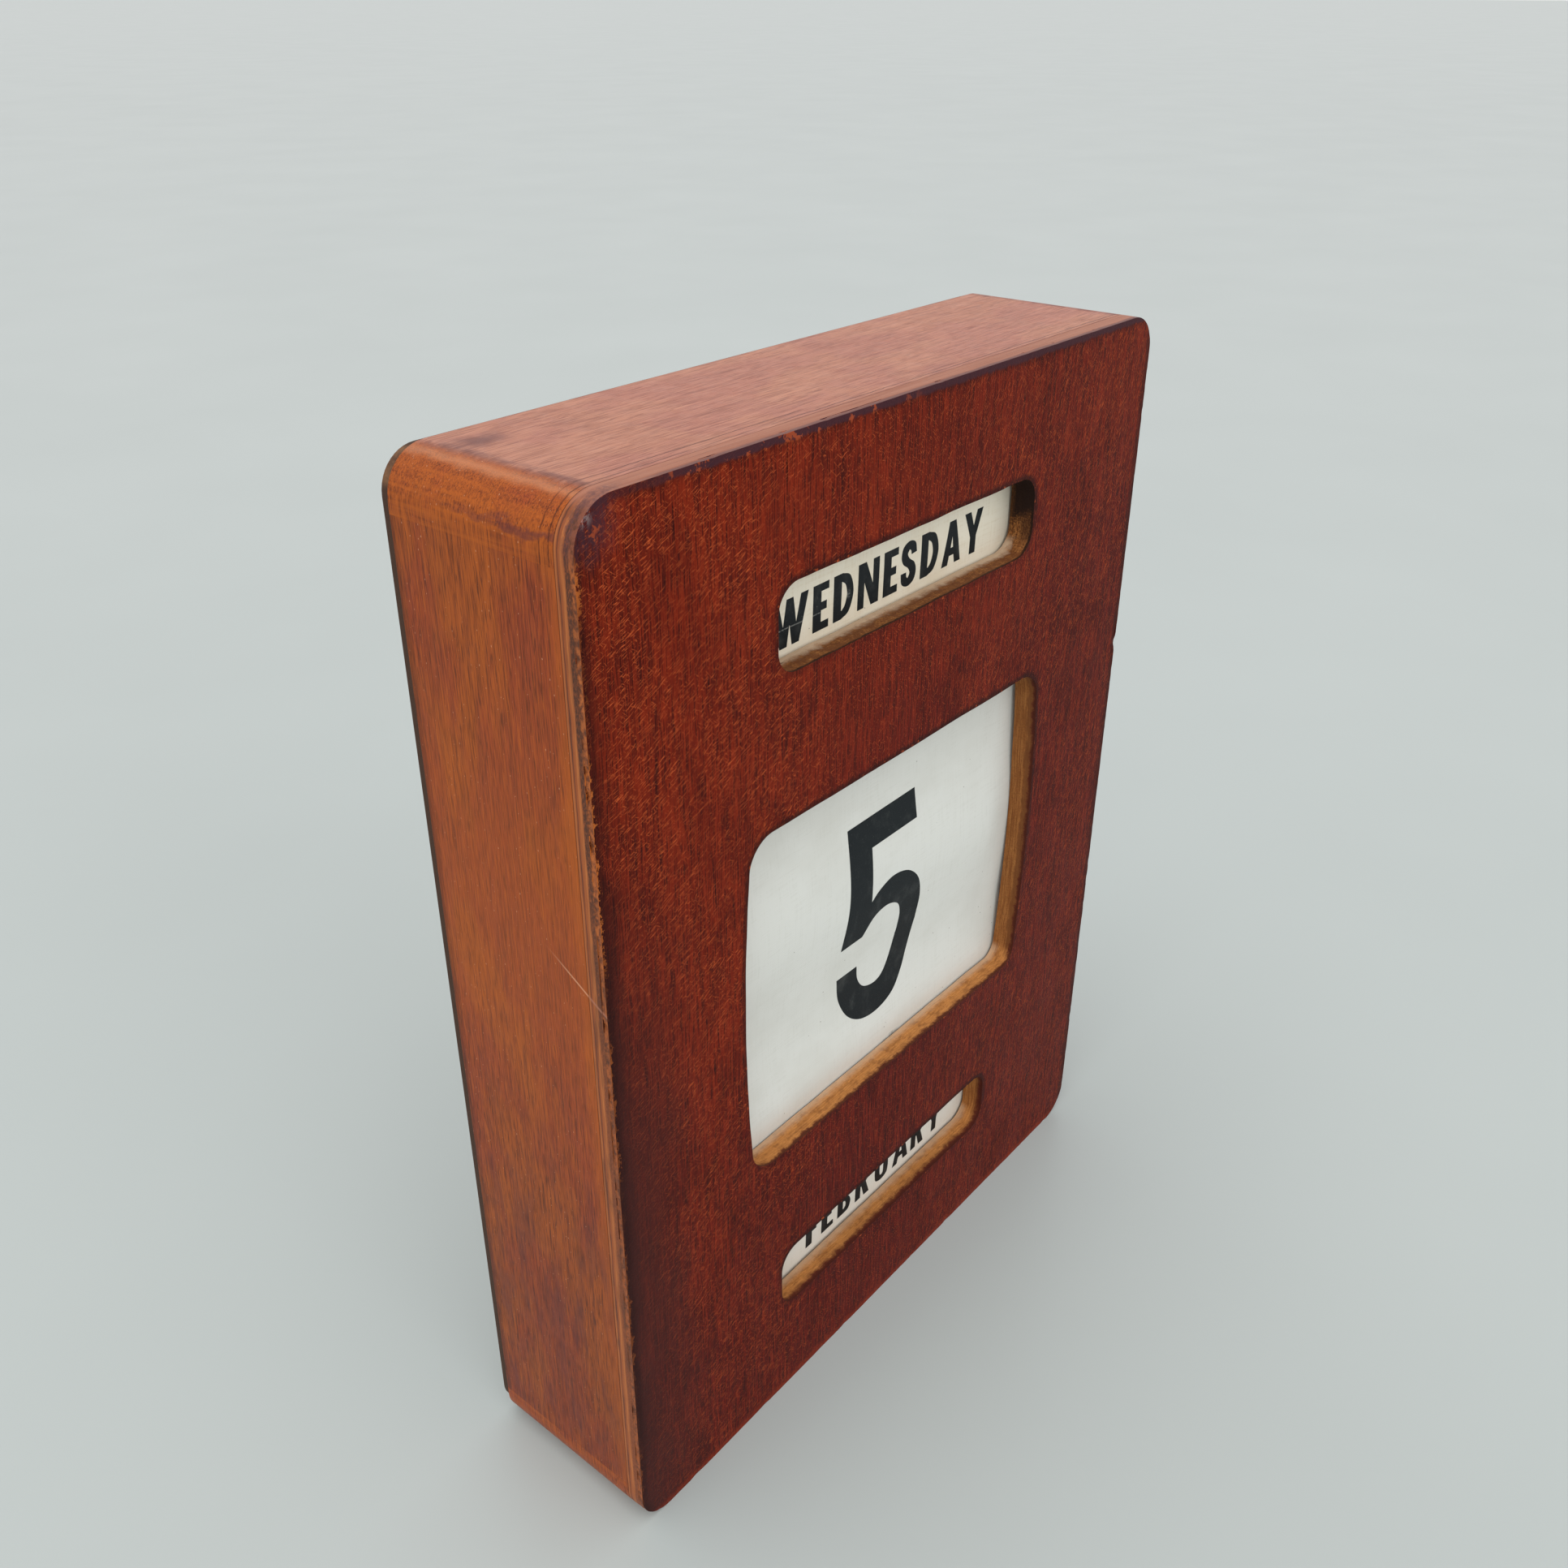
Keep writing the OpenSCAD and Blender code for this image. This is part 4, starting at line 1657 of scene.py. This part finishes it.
def number_five() -> list[Outline]:
    """Draw the large 5, from its lower left, 61 mm tall.

    Returns:
        Its one outline.
    """
    return [
        Outline(0.4, 27.6)
        .through((2.3, 41.0), (2.2, 61.4)).to((30.2, 61.4), (30.6, 52.9), (11.4, 52.9), (11.4, 37.2))
        .through((14.6, 39.4), (20.2, 40.9), (26.6, 39.4), (31.6, 34.8), (33.5, 28.2), (32.9, 21.0))
        .through(
            (30.3, 12.0), (28.2, 6.6), (24.2, 1.9), (17.4, 0.0),
            (10.2, 1.0), (4.6, 4.9), (1.0, 11.6), (0.0, 18.6),
        )
        .to((8.2, 18.6))
        .through((8.9, 14.2), (11.4, 10.6), (15.8, 9.1), (19.6, 10.2), (22.4, 14.6), (24.6, 22.2))
        .through((24.9, 26.8), (23.2, 30.8), (18.6, 32.8), (13.4, 31.8), (9.0, 27.6))
    ]


@dataclass(frozen=True)
class Printing:
    """What one band shows: its letters, each with how far across the band its left side is, in mm."""

    marks: tuple[tuple[str, float], ...]
    foot: float
    tilt: float = 0.0


@dataclass
class Band:
    """The flat stretch of one printed band, between its two rollers."""

    kind: str
    slot: str
    cloth: BandCloth
    ink: PrintInk
    printing: Printing
    sway: float = 0.25 * MM
    crest: float = 0.0
    pitch: float = 30 * MM
    spacing: float = 1.4 * MM
    print_depth: float = 0.03 * MM
    lift: float = 0.012 * MM
    spread: float = 0.0
    calm: float = 0.5 * MM
    ripple: float = 0.06 * MM
    held: float = 2 * MM
    freeing: float = 14 * MM
    hidden: Vector = Vector((13.5 * MM, 11.5 * MM))
    easing: float = 7 * MM
    low: Vector = field(init=False)
    high: Vector = field(init=False)

    def __post_init__(self) -> None:
        """Read the band's corners from the frame."""
        self.low, self.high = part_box(f"{self.kind}_band")

    def face(self, x: float, z: float) -> float:
        """Work out where the cloth's front lies: in waves, which calm down behind the panel.

        Args:
            x: The place across the band.
            z: The place up it.

        Returns:
            The Y of the cloth's front.
        """
        end = min(z - self.low.z, self.high.z - z)
        free = min(1.0, max(0.0, (end - self.held) / self.freeing))
        free = free * free * (3 - 2 * free)
        phase = 2 * math.pi * (z - self.crest) / self.pitch + 0.5 * math.sin(x / (38 * MM))
        ripple = self.ripple * wander(Vector((x, 0, z)), 16 * MM, 4.4)
        beside = (self.high.x - self.low.x) / 2 - abs(x) - self.hidden.x
        shown = min(1.0, max(0.0, min(beside, end - self.hidden.y) / self.easing))
        sway = min(self.sway, self.calm) + max(0.0, self.sway - self.calm) * shown
        return self.low.y - free * (sway * math.cos(phase) + ripple)

    def build(self) -> None:
        """Model the cloth and its printing, dress them and let them slide together."""
        cloth = self._weave()
        printed = self._print()
        paint(cloth, self.cloth.make())
        paint(printed, self.ink.make())
        body = f"{self.kind}_flat_band"
        install(cloth, body, self.slot, f"{self.kind}_band")
        install(printed, body, self.slot)
        size = self.high - self.low

    def _weave(self) -> bpy.types.Object:
        """Model the stretch of cloth, gently waved and as thick as the CAD one.

        Returns:
            The cloth.
        """
        size = self.high - self.low
        middle = (self.low + self.high) / 2
        bpy.ops.object.select_all(action="DESELECT")
        bpy.ops.mesh.primitive_grid_add(
            x_subdivisions=round(size.x / self.spacing),
            y_subdivisions=round(size.z / self.spacing),
            size=1,
            location=(middle.x, self.low.y, middle.z),
            rotation=(math.pi / 2, 0, 0),
        )
        cloth = named(f"{self.kind}_cloth")
        cloth.scale = (size.x, size.z, 1)
        settle(cloth)
        shaped(cloth, lambda point: Vector((point.x, self.face(point.x, point.z), point.z)))
        work(cloth, "SOLIDIFY", thickness=size.y, offset=-1.0)
        smooth(cloth, 50)
        return cloth

    def _print(self) -> bpy.types.Object:
        """Model the printing as a skin of ink that follows the cloth.

        Returns:
            The printing.
        """
        glyphs = letters()
        made = []
        for mark, x in self.printing.marks:
            outlines = number_five() if mark == "5" else glyphs[mark]
            made.append(self._glyph(outlines, x * MM))
        only(*made)
        if len(made) > 1:
            bpy.ops.object.join()
        printed = named(f"{self.kind}_print")
        with Bench(printed) as bench:
            bpy.ops.mesh.select_all(action="SELECT")
            bpy.ops.mesh.remove_doubles(threshold=TINY / 10)
            for axis, step in ((2, 2 * MM), (0, 5 * MM)):
                self._slice(bench, axis, step)
        turn = math.tan(math.radians(self.printing.tilt))

        def rule(point: Vector) -> Vector:
            """Tilt the line of printing and lay it on the cloth."""
            x, z = point.x, point.z + point.x * turn
            return Vector((x, self.face(x, z) - self.lift + point.y - self.print_depth / 2, z))

        shaped(printed, rule)
        smooth(printed, 50)
        return printed

    def _glyph(self, outlines: Iterable[Outline], x: float) -> bpy.types.Object:
        """Model one letter or number, upright at its place on the band.

        Args:
            outlines: Its outlines, those of its holes among them.
            x: Where its left side stands.

        Returns:
            The letter or number.
        """
        line = bpy.data.curves.new("glyph", "CURVE")
        line.dimensions = "2D"
        line.fill_mode = "BOTH"
        line.extrude = self.print_depth / 2
        line.offset = self.spread
        for outline in outlines:
            spline = line.splines.new("POLY")
            spline.points.add(len(outline.points) - 1)
            for point, (px, pz) in zip(spline.points, outline.points):
                point.co = (px * MM, pz * MM, 0, 1)
            spline.use_cyclic_u = True
        only(added("glyph", line))
        bpy.ops.object.convert(target="MESH")
        glyph = bpy.context.object
        glyph.location = (x, 0, self.printing.foot * MM)
        glyph.rotation_euler = (math.pi / 2, 0, 0)
        settle(glyph)
        return glyph

    @staticmethod
    def _slice(bench: Bench, axis: int, step: float) -> None:
        """Cut the flat printing across, so that it can bend with the cloth.

        Args:
            bench: The printing, open for editing.
            axis: The axis that the cuts are stepped along.
            step: The distance between cuts.
        """
        shape = bmesh.from_edit_mesh(bench.piece.data)
        places = [vertex.co[axis] for vertex in shape.verts]
        across = Vector((0, 0, 0))
        across[axis] = 1
        for count in range(math.ceil(min(places) / step), math.floor(max(places) / step) + 1):
            bpy.ops.mesh.select_all(action="SELECT")
            bpy.ops.mesh.bisect(plane_co=across * count * step, plane_no=across, threshold=TINY / 10)


def bands() -> list[Band]:
    """Choose the bands' cloths, inks, printing and waves.

    Returns:
        The day, date and month bands.
    """
    day_cloth = BandCloth(
        "cream_band", tone(240, 233, 214), tone(222, 208, 180), darker_from=40.0, gloss=0.55
    )
    date_cloth = BandCloth(
        "white_band", tone(222, 223, 217), tone(208, 208, 200), smudge=(7, 83.5), gloss=0.45
    )
    month_cloth = BandCloth("white_band_month", tone(230, 227, 217), tone(212, 205, 190), gloss=0.55)
    day_ink = PrintInk("day_ink", crease=216.3, crease_end=-20.0, rub=(-15.9, 217.6))
    day_marks = (
        ("W", -42.1), ("E", -28.1), ("D", -21.1), ("N", -12.5), ("E", -3.1),
        ("S", 3.4), ("D", 11.2), ("A", 19.9), ("Y", 28.9),
    )
    month_marks = (
        ("F", -28.4), ("E", -21.6), ("B", -14.4), ("R", -6.4),
        ("U", 2.7), ("A", 11.3), ("R", 20.4), ("Y", 28.4),
    )
    return [
        Band(
            "day", "cream_band", day_cloth, day_ink, Printing(day_marks, 212.75, 0.9),
            sway=0.2 * MM, crest=222 * MM, pitch=44 * MM, spread=0.08 * MM,
        ),
        Band(
            "date", "white_band", date_cloth, PrintInk("date_ink"), Printing((("5", -15.8),), 95.3),
            sway=1.1 * MM, crest=137 * MM, pitch=60 * MM,
        ),
        Band(
            "month", "white_band", month_cloth, PrintInk("month_ink"), Printing(month_marks, 32.0),
            sway=0.2 * MM, crest=40 * MM, pitch=44 * MM,
        ),
    ]


# ---- rollers and knobs ----


@dataclass
class Knob:
    """A turned knob, modelled once and copied to each roller.

    The foot and the neck have their shares of the knob's radius and length. Tuck and last_ring are
    the angles where the rounded grip starts and ends.
    """

    sides: int = 48
    foot: Point = (0.8, 0.12)
    neck: Point = (0.68, 0.3)
    tuck: float = 50.0
    fullness: float = 0.75
    rings: int = 14
    last_ring: float = 78.0
    dimple: float = 0.16
    arris: float = 0.18 * MM

    def master(self, node: str) -> bpy.types.Object:
        """Turn the first knob in the place of a CAD one.

        Args:
            node: The CAD knob that gives its size and place.

        Returns:
            The new knob.
        """
        low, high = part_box(node)
        radius = (high.z - low.z) / 2
        length = high.x - low.x
        middle = (low + high) / 2
        foot_r, foot_h = radius * self.foot[0], length * self.foot[1]
        bpy.ops.object.select_all(action="DESELECT")
        bpy.ops.mesh.primitive_cylinder_add(
            vertices=self.sides,
            radius=foot_r,
            depth=foot_h,
            location=(low.x + foot_h / 2, middle.y, middle.z),
            rotation=(0, math.pi / 2, 0),
        )
        knob = named("knob_master")
        settle(knob)
        with Bench(knob) as bench:
            bench.pick(lambda face: face.normal.x > 0.9, "FACE")
            reach, size = foot_h, foot_r
            for next_reach, next_size in self._profile(radius, length):
                step = next_reach - reach
                bpy.ops.mesh.extrude_region_move(TRANSFORM_OT_translate={"value": (step, 0, 0)})
                scale = next_size / size
                bpy.ops.transform.resize(
                    value=(1, scale, scale), center_override=(low.x + next_reach, middle.y, middle.z)
                )
                reach, size = next_reach, next_size
        round_arrises(knob, self.arris, 50)
        smooth(knob, 40)
        return knob

    def _profile(self, radius: float, length: float) -> list[Point]:
        """Work out the knob's outline from the neck to the tip.

        Args:
            radius: The knob's largest radius.
            length: Its length.

        Returns:
            Distances from its foot, with its radius at each.
        """
        neck_r, neck_h = radius * self.neck[0], length * self.neck[1]
        steps = [(length * self.foot[1] + 0.6 * MM, neck_r), (neck_h, neck_r)]
        tuck = math.radians(self.tuck)
        grip = length - neck_h
        last = math.radians(self.last_ring)
        for ring in range(self.rings + 1):
            angle = -tuck + (last + tuck) * ring / self.rings
            reach = neck_h + grip * (math.sin(angle) + math.sin(tuck)) / (1 + math.sin(tuck))
            steps.append((max(reach, steps[-1][0] + 0.02 * MM), radius * math.cos(angle) ** self.fullness))
        tip = steps[-1]
        steps.append((tip[0] - 0.01 * length, tip[1] * 0.72))
        steps.append((tip[0] - 0.045 * length, tip[1] * self.dimple))
        return steps


@dataclass
class Rollers:
    """The six rollers, with their coils of cloth, pins, spindles, washers and knobs."""

    cloths: dict[str, BandCloth]
    ends: tuple[str, ...] = ("upper", "lower")
    wood: TurnedWood = TurnedWood(
        "dowel_wood", tone(196, 160, 116), tone(150, 112, 72), tone(214, 184, 142), 0.62
    )
    varnish: TurnedWood = TurnedWood(
        "knob_wood", tone(92, 40, 26), tone(50, 22, 18), tone(122, 58, 36), 0.34
    )

    def build(self) -> None:
        """Dress every roller's CAD nodes and turn its knob."""
        wood = self.wood.make()
        steel = DullSteel().make()
        fibre = FibreWasher().make()
        varnish = self.varnish.make()
        rollers = [(f"{kind}_{end}", cloth) for kind, cloth in self.cloths.items() for end in self.ends]
        for roller, cloth in rollers:
            for part, finish in (("dowel", wood), ("pin", steel), ("spindle", steel), ("washer", fibre)):
                paint(frame["nodes"][f"{roller}_{part}"], finish)
            low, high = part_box(f"{roller}_coil")
            centre = ((low.y + high.y) / 2 / MM, (low.z + high.z) / 2 / MM)
            paint(frame["nodes"][f"{roller}_coil"], CoilCloth(cloth, centre, f"{roller}_coil_cloth").make())
        first = f"{rollers[0][0]}_knob"
        master = Knob().master(first)
        for roller, _ in rollers:
            node = f"{roller}_knob"
            knob = master if node == first else added(node, master.data.copy())
            knob.data.transform(Matrix.Translation(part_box(node)[0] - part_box(first)[0]))
            knob.name = f"{roller}_turned_knob"
            knob.data.name = knob.name
            paint(knob, varnish)
            install(knob, f"{roller}_roller", "knob_wood", node)


@dataclass
class Fixings:
    """The back panel's screws and the boards' nails."""

    nodes: tuple[str, ...] = ("back_screws", "case_nails")

    def dress(self) -> None:
        """Give the screws and nails their steel."""
        steel = DullSteel("fixing_steel").make()
        for node in self.nodes:
            paint(frame["nodes"][node], steel)
            LOG.info("%s: dressed", node)


# ---- the studio ----


@dataclass
class Studio:
    """The floor, the lights and the camera.

    The eye is the camera's place. Right and down are the ways that the picture's sides run.
    """

    floor_size: float = 60.0
    eye: Vector = Vector((-0.25126, -0.19571, 0.33352))
    right: Vector = Vector((0.63795, -0.77008, 0.0002))
    down: Vector = Vector((-0.37281, -0.30907, -0.87492))
    lens: float = 33.42
    sensor: float = 36.0
    target: Vector = Vector((0, 0, 0.13))
    sun_from: Vector = Vector((-0.35, -0.2, 1.0))
    sun_strength: float = 1.15
    sun_spread: float = 70.0
    air_strength: float = 0.8

    def build(self) -> None:
        """Lay the floor, hang the lights and set the camera."""
        self._floor()
        self._air()
        self._sun()
        self._lamp("left_wall", Vector((-1.6, -0.3, 0.9)), 1.5, 5.0)
        self._lamp("front_wall", Vector((-0.2, -1.8, 1.0)), 1.6, 6.0)
        self._camera()

    def _floor(self) -> None:
        """Lay the floor under the case."""
        bpy.ops.object.select_all(action="DESELECT")
        bpy.ops.mesh.primitive_grid_add(x_subdivisions=4, y_subdivisions=4, size=self.floor_size)
        floor = named("floor")
        paint(floor, StudioFloor().make())

    def _air(self) -> None:
        """Fill the room with even light."""
        world = bpy.data.worlds.new("room")
        world.use_nodes = True
        sky = world.node_tree.nodes["Background"]
        sky.inputs["Color"].default_value = (1.0, 1.0, 1.0, 1.0)
        sky.inputs["Strength"].default_value = self.air_strength
        bpy.context.scene.world = world
        bpy.context.scene.view_settings.view_transform = "Standard"

    def _sun(self) -> None:
        """Light the whole room softly from one side."""
        light = bpy.data.lights.new("ceiling", "SUN")
        light.energy = self.sun_strength
        light.angle = math.radians(self.sun_spread)
        added("ceiling", light).rotation_euler = self.sun_from.to_track_quat("Z", "Y").to_euler()

    def _lamp(self, name: str, place: Vector, size: float, watts: float) -> None:
        """Hang one large soft lamp that points at the calendar.

        Args:
            name: The lamp's name.
            place: Where it hangs.
            size: The side of its square face.
            watts: Its power.
        """
        light = bpy.data.lights.new(name, "AREA")
        light.size = size
        light.energy = watts
        lamp = added(name, light)
        lamp.location = place
        lamp.rotation_euler = (self.target - place).to_track_quat("-Z", "Y").to_euler()

    def _camera(self) -> None:
        """Set the camera in front of the case's left side, looking down on it."""
        lens = bpy.data.cameras.new("camera")
        lens.lens = self.lens
        lens.sensor_width = self.sensor
        lens.clip_start = 0.01
        camera = added("camera", lens)
        up = -self.down.normalized()
        side = (self.right - up * self.right.dot(up)).normalized()
        back = side.cross(up)
        turn = Matrix((side, up, back)).transposed().to_4x4()
        camera.matrix_world = Matrix.Translation(self.eye) @ turn
        bpy.context.scene.camera = camera


def write_sizes() -> None:
    """Bring the view layer up to date."""
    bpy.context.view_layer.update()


def main() -> None:
    """Build the calendar from the case outwards, then the studio round it."""
    logging.basicConfig(level=logging.INFO, format="%(name)s %(message)s")
    case = CaseSize.from_frame()
    FrontPanel(case).build()
    Carcase(case).build()
    shown = bands()
    for band in shown:
        band.build()
    Rollers({band.kind: band.cloth for band in shown}).build()
    Fixings().dress()
    Studio().build()
    write_sizes()


if __name__ == "__main__":
    main()
